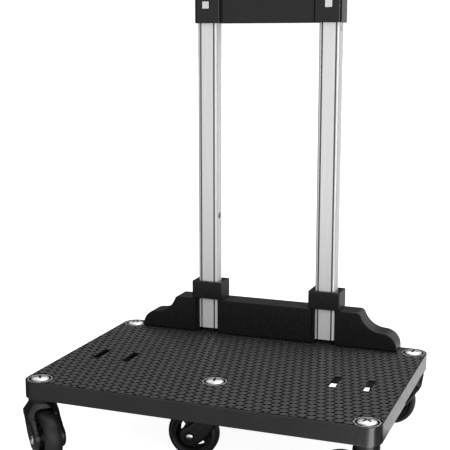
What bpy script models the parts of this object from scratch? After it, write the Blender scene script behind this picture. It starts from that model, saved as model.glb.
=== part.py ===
"""Folding platform cart: a moulded deck on five swivel casters, with a fold-down telescopic handle.

Metres, +Z up. The floor is z = 0, the deck's middle is x = y = 0, and the handle stands at +Y.
"""

from math import asin, cos, degrees, pi, radians, sin, sqrt

import bmesh
import bpy
from mathutils import Matrix, Vector

# Deck
DECK_WIDTH = 0.400
DECK_DEPTH = 0.274
DECK_HEIGHT = 0.020
DECK_TOP = 0.090
DECK_BOTTOM = DECK_TOP - DECK_HEIGHT
DECK_BACK = DECK_DEPTH / 2
CORNER_RADIUS = 0.016
PLATE = 0.0028
SKIRT = 0.0032
RIB = 0.0024
RIB_XS = (-0.175, -0.142, -0.100, -0.035, 0.035, 0.100, 0.142, 0.175)
RIB_YS = (-0.095, -0.050, 0.034, 0.085)
SLOT_XS = (-0.162, -0.1237, 0.1237, 0.162)
SLOT_WIDTH = 0.0085
SLOT_FRONT = -0.0341
SLOT_BACK = 0.0012
RECESS_RADIUS = 0.015
RECESS_DEPTH = 0.0025
BOSS_RADIUS = 0.0159
RELIEF_FRONT = -0.008
RELIEF_BACK = 0.112
RELIEF_HEIGHT = 0.0024
RELIEF_DEPTH = 0.0045
PAST = 0.004  # how far a tool runs out of what it cuts
GAP = 0.0003

# Casters: trail runs from the swivel's axis to the wheel's, and heading is its direction
WHEEL_RADIUS = 0.029
TRAIL = 0.024
AXLE_BELOW = DECK_BOTTOM - WHEEL_RADIUS
CUP_RADIUS = 0.0135
CUP_HEIGHT = 0.0045
CROWN_BOTTOM = 0.011
BELL_HALF = (0.0125, 0.0186)
LEG_INNER = 0.0116
LEG_OUTER = 0.0180
TYRE_HALF = 0.0095
RIM_RADIUS = 0.0215
LEG_BOSS = 0.012
WINDOW_COUNT = 5
WINDOW_INNER = 0.0124
WINDOW_OUTER = 0.0169
BOLT_RADIUS = 0.004
BOLT_BORE = 0.0045
AXLE_RADIUS = 0.0028
CORNER_X = DECK_WIDTH / 2 - CORNER_RADIUS
CORNER_Y = DECK_DEPTH / 2 - CORNER_RADIUS
CASTERS = {
    "front_left": (-CORNER_X, -CORNER_Y, -43),
    "front_right": (CORNER_X, -CORNER_Y, 188),
    "rear_left": (-CORNER_X, CORNER_Y, 20),
    "rear_right": (CORNER_X, CORNER_Y, -172),
    "middle": (0.0, -0.061, 184),
}

# Handle
FOLD_Y = 0.1155
FOLD_Z = 0.1022
PANEL_FRONT = 0.1082
PANEL_BACK = 0.136
PANEL_BOTTOM = DECK_TOP + 0.0005
PANEL_TOP = DECK_TOP + 0.0453
TUBE_X = 0.0763
TUBE_Y = 0.1189
TUBE_WIDTH = 0.025
TUBE_DEPTH = 0.0176
TUBE_WALL = 0.0014
TUBE_CORNER = 0.0027
GROOVE_INSET = 0.0040
LOCK_HOLE = 0.0030
TUBE_BOTTOM = DECK_TOP + 0.007
COLLAR_BOTTOM = PANEL_TOP + 0.0004
COLLAR_TOP = DECK_TOP + 0.068
COLLAR_FRONT = 0.105
COLLAR_BACK = 0.136
COLLAR_WIDTH = 0.0394
MOUTH_HALF = 0.0162
MOUTH_BACK = 0.1112
BRACKET_HALF = 0.0913
BRACKET_BOTTOM = DECK_TOP + 0.388
BRACKET_TOP = DECK_TOP + 0.430
WEB_HALF = 0.0580
WEB_INSET = 0.0060
PLUG_Z = DECK_TOP + 0.4094
PLUG_HALF = 0.0043
PLUG_DEPTH = 0.002
TUBE_TOP = BRACKET_TOP - 0.008
INNER_WIDTH = 0.0212
INNER_DEPTH = 0.0138
INNER_WALL = 0.0012
INNER_CORNER = 0.0022
INNER_BOTTOM = DECK_TOP + 0.362
INNER_TOP = DECK_TOP + 0.790
LOCK_HOLE_Z = {"left": DECK_TOP + 0.151, "right": DECK_TOP + 0.381}
LOCK_PIN_Z = DECK_TOP + 0.381
LOCK_PIN = 0.0025
GRIP_BOTTOM = DECK_TOP + 0.777
GRIP_SPLIT = DECK_TOP + 0.795
GRIP_TOP = DECK_TOP + 0.812
GRIP_HALF = 0.0985
GRIP_DEPTH = 0.034
GRIP_FLOOR = 0.0055
HOLLOW_HALF = (0.088, 0.0085)
HOLLOW_TOP = GRIP_SPLIT + 0.0080
BUTTON_SIZE = (0.0400, 0.0120)
BUTTON_TOP = GRIP_TOP + 0.0042
BAR_HALF = (0.0840, 0.0050)
BAR_BOTTOM = DECK_TOP + 0.7961
BAR_TOP = BAR_BOTTOM + 0.0041

# Fold hinge and its release
HINGE_X = 0.112
HINGE_WIDTH = 0.012
HINGE_PIN_RADIUS = 0.0022
HINGE_PIN_HALF = 0.0115
HINGE_SCREW_Z = DECK_BOTTOM + 0.010
SCREW_RADIUS = 0.0019
KNUCKLE_RADIUS = 0.0055
ARM_HALF = 0.0032
STRAP_FRONT = DECK_BACK + 0.0004
STRAP_BACK = STRAP_FRONT + 0.003
STRAP_FOOT = DECK_BOTTOM + 0.003
LEVER_Y = 0.131
LEVER_Z = 0.106
LEVER_PIN = 0.0015
LEVER_PIN_HALF = 0.026
BARREL_RADIUS = 0.0046
BARREL_HALF = 0.010
HOOK_FRONT = DECK_BACK + 0.0008
HOOK_BACK = HOOK_FRONT + 0.0032
HOOK_FOOT = DECK_BOTTOM + 0.004
LEVER_PAD_HALF = 0.019
LEVER_PAD_REACH = 0.020
LEVER_POCKET = ((-0.021, 0.1235, 0.0955), (0.021, PANEL_BACK + PAST, 0.1165))

SIDES = {"left": -1, "right": 1}

MATERIALS = {
    "black_plastic": ((0.030, 0.030, 0.032), 0.45, 0.0),
    "dark_plastic": ((0.016, 0.016, 0.017), 0.38, 0.0),
    "tyre_rubber": ((0.020, 0.020, 0.021), 0.62, 0.0),
    "grip_rubber": ((0.024, 0.024, 0.026), 0.70, 0.0),
    "button_grey": ((0.22, 0.22, 0.23), 0.45, 0.0),
    "aluminium": ((0.80, 0.80, 0.81), 0.28, 1.0),
    "bright_steel": ((0.75, 0.75, 0.76), 0.18, 1.0),
    "dark_steel": ((0.16, 0.16, 0.17), 0.35, 1.0),
}


def clear_scene():
    for obj in list(bpy.data.objects):
        bpy.data.objects.remove(obj)


def make_materials():
    made = {}
    for name, (colour, roughness, metallic) in MATERIALS.items():
        material = bpy.data.materials.new(name)
        material.use_nodes = True
        shader = material.node_tree.nodes["Principled BSDF"]
        shader.inputs["Base Color"].default_value = (*colour, 1.0)
        shader.inputs["Roughness"].default_value = roughness
        shader.inputs["Metallic"].default_value = metallic
        made[name] = material
    return made


def make_collection(name):
    collection = bpy.data.collections.new(name)
    bpy.context.scene.collection.children.link(collection)
    return collection


clear_scene()
material_of = make_materials()
cart = make_collection("folding_platform_cart")
cutters = make_collection("cutters")


# ---------------------------------------------------------------- helpers


def frame_empty(name, location, heading=0.0, parent=None):
    """An empty on a joint's axis. Its children are modelled in its own axes."""
    empty = bpy.data.objects.new(name, None)
    cart.objects.link(empty)
    empty.parent = parent
    empty.location = location
    empty.rotation_euler = (0.0, 0.0, radians(heading))
    return empty


def place(mesh, name, material, parent):
    """The mesh as a node of the cart, or as a hidden tool when it has no material."""
    obj = bpy.data.objects.new(name, mesh)
    if material is None:
        cutters.objects.link(obj)
        obj.hide_render = True
        obj.display_type = "WIRE"
    else:
        cart.objects.link(obj)
        mesh.materials.append(material_of[material])
    obj.parent = parent
    return obj


def mesh_of(bm, name, smooth):
    bmesh.ops.recalc_face_normals(bm, faces=bm.faces)
    for face in bm.faces:
        face.smooth = smooth
    mesh = bpy.data.meshes.new(name)
    bm.to_mesh(mesh)
    bm.free()
    return mesh


def box(name, low, high, material=None, parent=None):
    low, high = Vector(low), Vector(high)
    bm = bmesh.new()
    size = Matrix.Diagonal((*(high - low), 1.0))
    bmesh.ops.create_cube(bm, size=1.0, matrix=Matrix.Translation((low + high) / 2) @ size)
    return place(mesh_of(bm, name, False), name, material, parent)


def grid_boxes(name, spans, low_z, high_z):
    """One tool of separate boxes, each over an (x, y) span."""
    bm = bmesh.new()
    for (x0, x1), (y0, y1) in spans:
        size = Matrix.Diagonal((x1 - x0, y1 - y0, high_z - low_z, 1.0))
        middle = Vector(((x0 + x1) / 2, (y0 + y1) / 2, (low_z + high_z) / 2))
        bmesh.ops.create_cube(bm, size=1.0, matrix=Matrix.Translation(middle) @ size)
    return place(mesh_of(bm, name, False), name, None, None)


TURN_TO = {
    "X": Matrix.Rotation(pi / 2, 4, "Y"),
    "Y": Matrix.Rotation(-pi / 2, 4, "X"),
    "Z": Matrix.Identity(4),
}


def cylinders(name, radius, low, high, spots, axis="Z", sides=24, parent=None, material=None):
    """Cylinders from low to high along axis, each through a spot given by its other two coordinates."""
    bm = bmesh.new()
    for spot in spots:
        middle = list(spot)
        middle.insert("XYZ".index(axis), (low + high) / 2)
        bmesh.ops.create_cone(
            bm,
            cap_ends=True,
            segments=sides,
            radius1=radius,
            radius2=radius,
            depth=high - low,
            matrix=Matrix.Translation(middle) @ TURN_TO[axis],
        )
    return place(mesh_of(bm, name, False), name, material, parent)


def arc(centre, radius, start, end, steps):
    """Points on an arc, angles in degrees."""
    angles = [radians(start + (end - start) * k / steps) for k in range(steps + 1)]
    return [(centre[0] + radius * cos(a), centre[1] + radius * sin(a)) for a in angles]


def rounded_rect(width, depth, radius, centre=(0.0, 0.0), steps=4):
    x, y = width / 2 - radius, depth / 2 - radius
    corners = ((x, y, 0), (-x, y, 90), (-x, -y, 180), (x, -y, 270))
    points = []
    for u, v, start in corners:
        points += arc((centre[0] + u, centre[1] + v), radius, start, start + 90, steps)
    return points


# Where an outline's two coordinates and its thickness go, for each axis that it can be extruded along
OUTLINE_PLANE = {
    "X": Matrix(((0, 0, 1, 0), (1, 0, 0, 0), (0, 1, 0, 0), (0, 0, 0, 1))),
    "Y": Matrix(((1, 0, 0, 0), (0, 0, -1, 0), (0, 1, 0, 0), (0, 0, 0, 1))),
    "Z": Matrix.Identity(4),
}


def outline_solid(name, outlines, low, high, axis="Z", material=None, parent=None):
    """A flat outline, with any further outlines as holes, extruded from low to high along axis."""
    curve = bpy.data.curves.new(name, "CURVE")
    curve.dimensions = "2D"
    curve.fill_mode = "BOTH"
    curve.extrude = (high - low) / 2
    for points in outlines:
        spline = curve.splines.new("POLY")
        spline.points.add(len(points) - 1)
        for point, (u, v) in zip(spline.points, points):
            point.co = (u, v, 0.0, 1.0)
        spline.use_cyclic_u = True
    flat = bpy.data.objects.new(name + "_outline", curve)
    bpy.context.scene.collection.objects.link(flat)
    bpy.context.view_layer.update()
    graph = bpy.context.evaluated_depsgraph_get()
    solid = bpy.data.meshes.new_from_object(flat.evaluated_get(graph))
    bpy.data.objects.remove(flat)
    middle = Vector()
    middle["XYZ".index(axis)] = (low + high) / 2
    bm = bmesh.new()
    bm.from_mesh(solid)
    bpy.data.meshes.remove(solid)
    bmesh.ops.transform(bm, matrix=Matrix.Translation(middle) @ OUTLINE_PLANE[axis], verts=bm.verts)
    bmesh.ops.remove_doubles(bm, verts=bm.verts, dist=1e-6)
    return place(mesh_of(bm, name, False), name, material, parent)


def turned(name, profile, axis="Z", steps=24, material=None, parent=None, location=(0, 0, 0), closed=False):
    """A (radius, height) profile turned about axis. It runs down its outer side from top to bottom."""
    bm = bmesh.new()
    verts = []
    for radius, height in profile:
        verts.append(bm.verts.new((radius, height, 0.0) if axis == "Y" else (radius, 0.0, height)))
    ends = list(zip(verts, verts[1:]))
    if closed:
        ends.append((verts[-1], verts[0]))
    for pair in ends:
        bm.edges.new(pair)
    mesh = bpy.data.meshes.new(name)
    bm.to_mesh(mesh)
    bm.free()
    obj = place(mesh, name, material, parent)
    obj.location = location
    screw = obj.modifiers.new("Turn", "SCREW")
    screw.axis = axis
    screw.steps = steps
    screw.render_steps = steps
    screw.use_smooth_shade = True
    screw.use_merge_vertices = True
    screw.merge_threshold = 0.00001
    return obj


def combine(target, operation, *tools):
    for tool in tools:
        boolean = target.modifiers.new(tool.name, "BOOLEAN")
        boolean.operation = operation
        boolean.solver = "EXACT"
        boolean.object = tool
    return target


def cut(target, *tools):
    return combine(target, "DIFFERENCE", *tools)


def join(target, *tools):
    return combine(target, "UNION", *tools)


def bevel(obj, width, segments=1, angle=40):
    made = obj.modifiers.new("Soft edges", "BEVEL")
    made.width = width
    made.segments = segments
    made.limit_method = "ANGLE"
    made.angle_limit = radians(angle)
    return obj


def coil(name, radius, wire, turns, low, high, centre, axis, material, parent, steps=8):
    """A helical spring whose wire's centre line runs from low to high along axis."""
    curve = bpy.data.curves.new(name, "CURVE")
    curve.dimensions = "3D"
    curve.bevel_depth = wire
    curve.bevel_resolution = 0
    curve.resolution_u = 1
    curve.use_fill_caps = True
    count = int(turns * steps)
    spline = curve.splines.new("POLY")
    spline.points.add(count)
    for k, point in enumerate(spline.points):
        turn = 2 * pi * k / steps
        along = low + (high - low) * k / count
        place_on = {
            "X": (along, centre[0] + radius * cos(turn), centre[1] + radius * sin(turn)),
            "Z": (centre[0] + radius * cos(turn), centre[1] + radius * sin(turn), along),
        }
        point.co = (*place_on[axis], 1.0)
    obj = bpy.data.objects.new(name, curve)
    cart.objects.link(obj)
    curve.materials.append(material_of[material])
    obj.parent = parent
    return obj


# ---------------------------------------------------------------- deck


def pocket_spans():
    """The spans between the ribs under the deck."""
    inner_x = DECK_WIDTH / 2 - SKIRT
    inner_y = DECK_DEPTH / 2 - SKIRT
    columns = [-inner_x, *[x + s * RIB / 2 for x in RIB_XS for s in (-1, 1)], inner_x]
    rows = [-inner_y, *[y + s * RIB / 2 for y in RIB_YS for s in (-1, 1)], inner_y]
    x_spans = list(zip(columns[::2], columns[1::2]))
    y_spans = list(zip(rows[::2], rows[1::2]))
    return [(x_span, y_span) for x_span in x_spans for y_span in y_spans]


def side_relief_spans():
    """A shallow step along the foot of each side skirt."""
    low, high = DECK_WIDTH / 2 - RELIEF_DEPTH, DECK_WIDTH / 2 + PAST
    return [(x_span, (RELIEF_FRONT, RELIEF_BACK)) for x_span in ((low, high), (-high, -low))]


def make_deck():
    outline = rounded_rect(DECK_WIDTH, DECK_DEPTH, CORNER_RADIUS, steps=5)
    deck = outline_solid("deck_board", [outline], DECK_BOTTOM, DECK_TOP, material="black_plastic")
    bevel(deck, 0.0008, angle=60)
    below, above = DECK_BOTTOM - PAST, DECK_TOP + PAST
    spots = [(x, y) for x, y, _ in CASTERS.values()]
    pockets = grid_boxes("deck_pockets", pocket_spans(), below, DECK_TOP - PLATE)
    bosses = cylinders("deck_bosses", BOSS_RADIUS, DECK_BOTTOM + 0.0002, DECK_TOP - 0.001, spots, sides=16)
    recesses = cylinders("bolt_recesses", RECESS_RADIUS, DECK_TOP - RECESS_DEPTH, above, spots)
    holes = cylinders("bolt_holes", BOLT_BORE, below, above, spots, sides=12)
    half = SLOT_WIDTH / 2
    slots = grid_boxes(
        "strap_slots", [((x - half, x + half), (SLOT_FRONT, SLOT_BACK)) for x in SLOT_XS], below, above
    )
    reliefs = grid_boxes("side_reliefs", side_relief_spans(), below, DECK_BOTTOM + RELIEF_HEIGHT)
    screw_spots = [(side * HINGE_X, HINGE_SCREW_Z) for side in SIDES.values()]
    pilots = cylinders(
        "hinge_pilots", SCREW_RADIUS + 0.0004, DECK_BACK - 0.010, DECK_BACK + PAST, screw_spots, "Y", 12
    )
    cut(deck, pockets)
    join(deck, bosses)
    cut(deck, recesses, holes, slots, reliefs, pilots)


# ---------------------------------------------------------------- casters


def make_bolt(name, x, y):
    """The stem bolt: a domed head in the deck's recess, and its lower end peened under the fork."""
    seat = DECK_TOP - RECESS_DEPTH + GAP
    head = [(0.0, seat + 0.0042), (0.0060, seat + 0.0037), (0.0098, seat + 0.0021)]
    foot = DECK_BOTTOM - CROWN_BOTTOM - GAP
    shank = [(0.011, seat), (BOLT_RADIUS, seat), (BOLT_RADIUS, foot), (0.0062, foot)]
    peen = [(0.0048, foot - 0.0024), (0.0, foot - 0.0024)]
    spot = (x, y, 0)
    turned(name + "_caster_bolt", head + shank + peen, steps=14, material="bright_steel", location=spot)


def make_cup(name, x, y):
    top = DECK_BOTTOM - GAP
    bottom = top - CUP_HEIGHT
    profile = [
        (BOLT_BORE, top),
        (CUP_RADIUS, top),
        (CUP_RADIUS, bottom),
        (BOLT_BORE, bottom),
    ]
    spot = (x, y, 0)
    turned(name + "_bearing_cup", profile, steps=20, material="dark_plastic", location=spot, closed=True)


def leg_outline():
    """One fork leg from the side: trail to the right, height up, down to the boss round the axle."""
    boss = arc((TRAIL, -AXLE_BELOW), LEG_BOSS, 235, 435, 8)
    back = [(-0.0115, -0.0165), (-0.0098, -0.0200), (-0.0030, -0.0300), (0.0034, -0.0393), (0.0105, -0.0460)]
    return [(0.0115, -0.0165), *back, *boss, (0.0227, -0.0258)]


def fork_web_outline():
    """The wall behind the wheel that joins the legs under the crown, from the side."""
    outside = [(-0.0113, -0.0105), (-0.0113, -0.0165), (-0.0096, -0.0200), (-0.0050, -0.0268)]
    return [*outside, (-0.0032, -0.0256), (-0.0075, -0.0192), (-0.0090, -0.0160), (-0.0090, -0.0105)]


def make_fork(name, swivel):
    """A round crown that flares sideways and spreads into two legs, with a slot for the wheel."""
    crown_top = -GAP - CUP_HEIGHT - GAP
    bm = bmesh.new()
    round_crown = (CUP_RADIUS, CUP_RADIUS)
    for z, (half_x, half_y) in ((crown_top, round_crown), (-0.0075, round_crown), (-0.0125, BELL_HALF)):
        for x, y in arc((0, 0), 1, 0, 342, 19):
            bm.verts.new((x * half_x, y * half_y, z))
    for x, z in ((-0.0115, -0.0165), (0.0115, -0.0165), (-0.0088, -0.0215), (0.0150, -0.0215)):
        for y in (-LEG_OUTER, LEG_OUTER):
            bm.verts.new((x, y, z))
    bmesh.ops.convex_hull(bm, input=bm.verts)
    fork = place(mesh_of(bm, name + "_fork", False), name + "_fork", "dark_plastic", swivel)
    outline = [leg_outline()]
    legs = [
        outline_solid(f"{name}_leg_{k}", outline, low, high, "Y", parent=swivel)
        for k, (low, high) in enumerate(((-LEG_OUTER, -LEG_INNER), (LEG_INNER, LEG_OUTER)))
    ]
    slot_low, slot_high = (-0.04, -LEG_INNER, -0.06), (0.07, LEG_INNER, -CROWN_BOTTOM)
    slot = box(name + "_slot", slot_low, slot_high, parent=swivel)
    bore = cylinders(name + "_fork_bore", BOLT_BORE, -0.02, 0.0, [(0, 0)], sides=12, parent=swivel)
    spot = [(TRAIL, -AXLE_BELOW)]
    axle_hole = cylinders(name + "_axle_hole", AXLE_RADIUS + GAP, -0.03, 0.03, spot, "Y", 10, parent=swivel)
    cut(fork, slot, bore)
    reach = LEG_INNER + 0.001
    web = outline_solid(name + "_web", [fork_web_outline()], -reach, reach, "Y", parent=swivel)
    join(fork, *legs, web)
    cut(fork, axle_hole)


def make_axle(name, swivel):
    """A rivet: a shank with a low dome outside each leg."""
    face = LEG_OUTER + GAP
    dome = [(0.0, face + 0.0026), (0.0040, face + 0.0019), (0.0058, face)]
    half = dome + [(AXLE_RADIUS, face)]
    profile = half + [(radius, -height) for radius, height in reversed(half)]
    spot = (TRAIL, 0.0, -AXLE_BELOW)
    turned(name + "_axle", profile, "Y", 12, "bright_steel", swivel, spot)


def make_wheel(name, axle):
    """Hub, web and rim in one moulding, with five windows between the spokes."""
    section = [
        (AXLE_RADIUS + GAP, 0.0092),
        (0.0068, 0.0092),
        (0.0072, 0.0030),
        (0.0177, 0.0030),
        (0.0177, 0.0085),
        (RIM_RADIUS, 0.0085),
    ]
    profile = section + [(radius, -height) for radius, height in reversed(section)]
    wheel = turned(name + "_wheel", profile, "Y", 18, "dark_plastic", axle, closed=True)
    for k in range(WINDOW_COUNT):
        middle = 23 + 360 / WINDOW_COUNT * k
        outer = arc((0, 0), WINDOW_OUTER, middle - 22, middle + 22, 2)
        inner = arc((0, 0), WINDOW_INNER, middle + 20, middle - 20, 1)
        window = outline_solid(f"{name}_window_{k}", [outer + inner], -0.005, 0.005, "Y", parent=axle)
        cut(wheel, window)


def make_tyre(name, axle):
    inner = RIM_RADIUS + GAP
    half = [(inner, 0.0083), (0.0245, TYRE_HALF), (0.0281, 0.0064), (WHEEL_RADIUS, 0.0018)]
    profile = half + [(radius, -height) for radius, height in reversed(half)]
    turned(name + "_tyre", profile, "Y", 24, "tyre_rubber", axle, closed=True)


def make_casters():
    for name, (x, y, heading) in CASTERS.items():
        make_bolt(name, x, y)
        make_cup(name, x, y)
        swivel = frame_empty(name + "_swivel_axis", (x, y, DECK_BOTTOM), heading)
        make_fork(name, swivel)
        make_axle(name, swivel)
        axle = frame_empty(name + "_wheel_axis", (TRAIL, 0.0, -AXLE_BELOW), parent=swivel)
        make_wheel(name, axle)
        make_tyre(name, axle)


# ---------------------------------------------------------------- fold hinge


def bracket_outline():
    """The strap on the deck's back skirt from the side, with its arm forward to the knuckle."""
    lean = degrees(asin(ARM_HALF / KNUCKLE_RADIUS))
    knuckle = arc((FOLD_Y, FOLD_Z), KNUCKLE_RADIUS, lean, 360 - lean, 14)
    strap = [
        (STRAP_FRONT, FOLD_Z - ARM_HALF),
        (STRAP_FRONT, STRAP_FOOT),
        (STRAP_BACK, STRAP_FOOT),
        (STRAP_BACK, FOLD_Z + ARM_HALF),
    ]
    return knuckle + strap


def hinge_bore(name, low, high, parent=None):
    spot = [(FOLD_Y, FOLD_Z)]
    return cylinders(name, HINGE_PIN_RADIUS + GAP, low - 0.002, high + 0.002, spot, "X", 16, parent)


def make_hinge_screw(name, x):
    head = [(0.0, 0.0022), (0.0026, 0.0018), (0.0040, 0.0)]
    shank = [(SCREW_RADIUS, 0.0), (SCREW_RADIUS, -0.0125), (0.0, -0.0125)]
    spot = (x, STRAP_BACK + GAP, HINGE_SCREW_Z)
    turned(f"hinge_screw_{name}", head + shank, "Y", 12, "dark_steel", location=spot)


def make_hinge_brackets():
    for name, side in SIDES.items():
        x = side * HINGE_X
        low, high = x - HINGE_WIDTH / 2, x + HINGE_WIDTH / 2
        bracket = outline_solid(f"hinge_bracket_{name}", [bracket_outline()], low, high, "X", "dark_steel")
        hole_ends = STRAP_FRONT - 0.002, STRAP_BACK + 0.002
        hole_spot = [(x, HINGE_SCREW_Z)]
        screw_hole = cylinders(f"strap_hole_{name}", SCREW_RADIUS + 0.0004, *hole_ends, hole_spot, "Y", 12)
        cut(bracket, hinge_bore(f"knuckle_bore_{name}", low, high), screw_hole)
        pin_ends = x - HINGE_PIN_HALF, x + HINGE_PIN_HALF
        pin_spot = [(FOLD_Y, FOLD_Z)]
        cylinders(
            f"hinge_pin_{name}", HINGE_PIN_RADIUS, *pin_ends, pin_spot, "X", 16, material="bright_steel"
        )
        make_hinge_screw(name, x)


# ---------------------------------------------------------------- panel and outer tubes


def panel_outline():
    """The panel from the front: round ends, hollow shoulders and a flat top."""
    end = arc((0.1470, DECK_TOP + 0.0040), 0.0190, 0, 90, 6)
    hollow = arc((0.1480, DECK_TOP + 0.0510), 0.0280, 262, 202, 6)
    brow = arc((0.1160, DECK_TOP + 0.0393), 0.0060, 20, 90, 3)
    right = [(0.1660, PANEL_BOTTOM), *end, *hollow, *brow]
    return right + [(-x, z) for x, z in reversed(right)]


def toe_outline():
    """What comes off the panel's bottom front edge, so that it clears the deck as it folds."""
    swing = FOLD_Z - PANEL_BOTTOM
    depth = FOLD_Y - PANEL_FRONT
    front_angle = 180 + degrees(asin(sqrt(swing**2 - depth**2) / swing))
    toe = arc((FOLD_Y, FOLD_Z), swing, front_angle, 270, 3)
    low, front = PANEL_BOTTOM - PAST, PANEL_FRONT - PAST
    return [*toe, (FOLD_Y, low), (front, low), (front, toe[0][1])]


def hinge_pocket_outline():
    """Room in the panel, from the side, for the bracket's arm to swing from the back to the bottom."""
    radius = KNUCKLE_RADIUS + 0.0005
    reach = ARM_HALF + 0.0006
    lean = degrees(asin(reach / radius))
    front = arc((FOLD_Y, FOLD_Z), radius, lean, 270 - lean, 8)
    low, back = PANEL_BOTTOM - PAST, PANEL_BACK + PAST
    return [*front, (FOLD_Y - reach, low), (back, low), (back, FOLD_Z + reach)]


def cut_tube_channel(panel, name, x, fold):
    """An open channel for the tube, wider at its mouth."""
    below, above = PANEL_BOTTOM - PAST, PANEL_TOP + PAST
    front = PANEL_FRONT - PAST
    half, back = TUBE_WIDTH / 2 + GAP, TUBE_Y + TUBE_DEPTH / 2 + GAP
    mouth_low, mouth_high = (x - MOUTH_HALF, front, below), (x + MOUTH_HALF, MOUTH_BACK, above)
    mouth = box(f"tube_mouth_{name}", mouth_low, mouth_high, parent=fold)
    channel = box(f"tube_channel_{name}", (x - half, front, below), (x + half, back, above), parent=fold)
    cut(panel, mouth, channel)


def cut_hinge_pocket(panel, name, x, fold):
    low, high = x - HINGE_WIDTH / 2 - 0.0005, x + HINGE_WIDTH / 2 + 0.0005
    pocket = outline_solid(f"hinge_pocket_{name}", [hinge_pocket_outline()], low, high, "X", parent=fold)
    ends = x - HINGE_PIN_HALF + 0.0015, x + HINGE_PIN_HALF - 0.0015
    cut(panel, pocket, hinge_bore(f"panel_bore_{name}", *ends, fold))


def make_panel(fold):
    outlines = [panel_outline()]
    panel = outline_solid("back_panel", outlines, PANEL_FRONT, PANEL_BACK, "Y", "dark_plastic", fold)
    bevel(panel, 0.0010, angle=60)
    cut(panel, outline_solid("panel_toe", [toe_outline()], -0.2, 0.2, "X", parent=fold))
    for name, side in SIDES.items():
        cut_tube_channel(panel, name, side * TUBE_X, fold)
        cut_hinge_pocket(panel, name, side * HINGE_X, fold)
    pocket = box("lever_pocket", *LEVER_POCKET, parent=fold)
    end = LEVER_PIN_HALF + 0.0005
    bore = cylinders("lever_bore", LEVER_PIN + GAP, -end, end, [(LEVER_Y, LEVER_Z)], "X", 12, fold)
    cut(panel, pocket, bore)


def outer_tube_outline(x):
    """The extrusion's section: round corners, and a groove near each front corner."""
    outline = rounded_rect(TUBE_WIDTH, TUBE_DEPTH, TUBE_CORNER, (x, TUBE_Y), 3)
    front = TUBE_Y - TUBE_DEPTH / 2
    grooves = []
    for side in (-1, 1):
        middle = x + side * (TUBE_WIDTH / 2 - GROOVE_INSET)
        grooves += [(middle - 0.0005, front), (middle, front + 0.0006), (middle + 0.0005, front)]
    # The front edge runs from the third corner to the fourth, so the grooves go between them.
    third_corner_end = 3 * 4
    return outline[:third_corner_end] + grooves + outline[third_corner_end:]


def tube_bore(width, depth, wall, x):
    return rounded_rect(width - 2 * wall, depth - 2 * wall, wall, (x, TUBE_Y), 2)


def tube_hole(name, x, width, depth, radius, low, high, parent):
    """A tool that leaves the usual gap all round a tube."""
    outline = rounded_rect(width + 2 * GAP, depth + 2 * GAP, radius, (x, TUBE_Y), 2)
    return outline_solid(name, [outline], low, high, "Z", parent=parent)


def make_outer_tubes(fold):
    for name, side in SIDES.items():
        x = side * TUBE_X
        outlines = [outer_tube_outline(x), tube_bore(TUBE_WIDTH, TUBE_DEPTH, TUBE_WALL, x)]
        tube = outline_solid(
            f"outer_tube_{name}", outlines, TUBE_BOTTOM, TUBE_TOP, "Z", "aluminium", fold
        )
        wall = x + TUBE_WIDTH / 2
        spot = [(TUBE_Y, LOCK_HOLE_Z[name])]
        cut(tube, cylinders(f"lock_hole_{name}", LOCK_HOLE, wall - PAST, wall + PAST, spot, "X", 16, fold))


def make_collars(fold):
    middle_y = (COLLAR_FRONT + COLLAR_BACK) / 2
    for name, side in SIDES.items():
        x = side * TUBE_X
        outer = rounded_rect(COLLAR_WIDTH, COLLAR_BACK - COLLAR_FRONT, 0.0012, (x, middle_y), 2)
        collar = outline_solid(
            f"tube_collar_{name}", [outer], COLLAR_BOTTOM, COLLAR_TOP, "Z", "dark_plastic", fold
        )
        bevel(collar, 0.0008, angle=60)
        ends = COLLAR_BOTTOM - PAST, COLLAR_TOP + PAST
        cut(collar, tube_hole(f"collar_hole_{name}", x, TUBE_WIDTH, TUBE_DEPTH, TUBE_CORNER, *ends, fold))


def bracket_plan():
    """A block round each tube, and a web set back between them."""
    half = [
        (BRACKET_HALF, COLLAR_BACK),
        (BRACKET_HALF, COLLAR_FRONT),
        (WEB_HALF + 0.0015, COLLAR_FRONT),
        (WEB_HALF, COLLAR_FRONT + WEB_INSET),
    ]
    return half + [(-x, y) for x, y in reversed(half)]


def make_plug(bracket, name, x, fold):
    """A square plug in the block's front face."""
    front, back = COLLAR_FRONT, COLLAR_FRONT + PLUG_DEPTH
    half = PLUG_HALF + GAP
    low, high = (x - half, front - PAST, PLUG_Z - half), (x + half, back, PLUG_Z + half)
    cut(bracket, box(f"plug_seat_{name}", low, high, parent=fold))
    low = (x - PLUG_HALF, front - 0.0006, PLUG_Z - PLUG_HALF)
    high = (x + PLUG_HALF, back - GAP, PLUG_Z + PLUG_HALF)
    bevel(box(f"bracket_plug_{name}", low, high, "bright_steel", fold), 0.0006)


def make_bracket(fold):
    """The crossbar over the outer tubes, which the inner tubes slide through."""
    bracket = outline_solid(
        "handle_bracket", [bracket_plan()], BRACKET_BOTTOM, BRACKET_TOP, "Z", "black_plastic", fold
    )
    bevel(bracket, 0.0022, 2, 50)
    for name, side in SIDES.items():
        x = side * TUBE_X
        ends = BRACKET_BOTTOM - PAST, TUBE_TOP + GAP
        socket = tube_hole(f"bracket_socket_{name}", x, TUBE_WIDTH, TUBE_DEPTH, TUBE_CORNER, *ends, fold)
        ends = TUBE_TOP - PAST, BRACKET_TOP + PAST
        throat = tube_hole(f"bracket_throat_{name}", x, INNER_WIDTH, INNER_DEPTH, INNER_CORNER, *ends, fold)
        cut(bracket, socket, throat)
        make_plug(bracket, name, x, fold)


# ---------------------------------------------------------------- fold release lever


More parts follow.
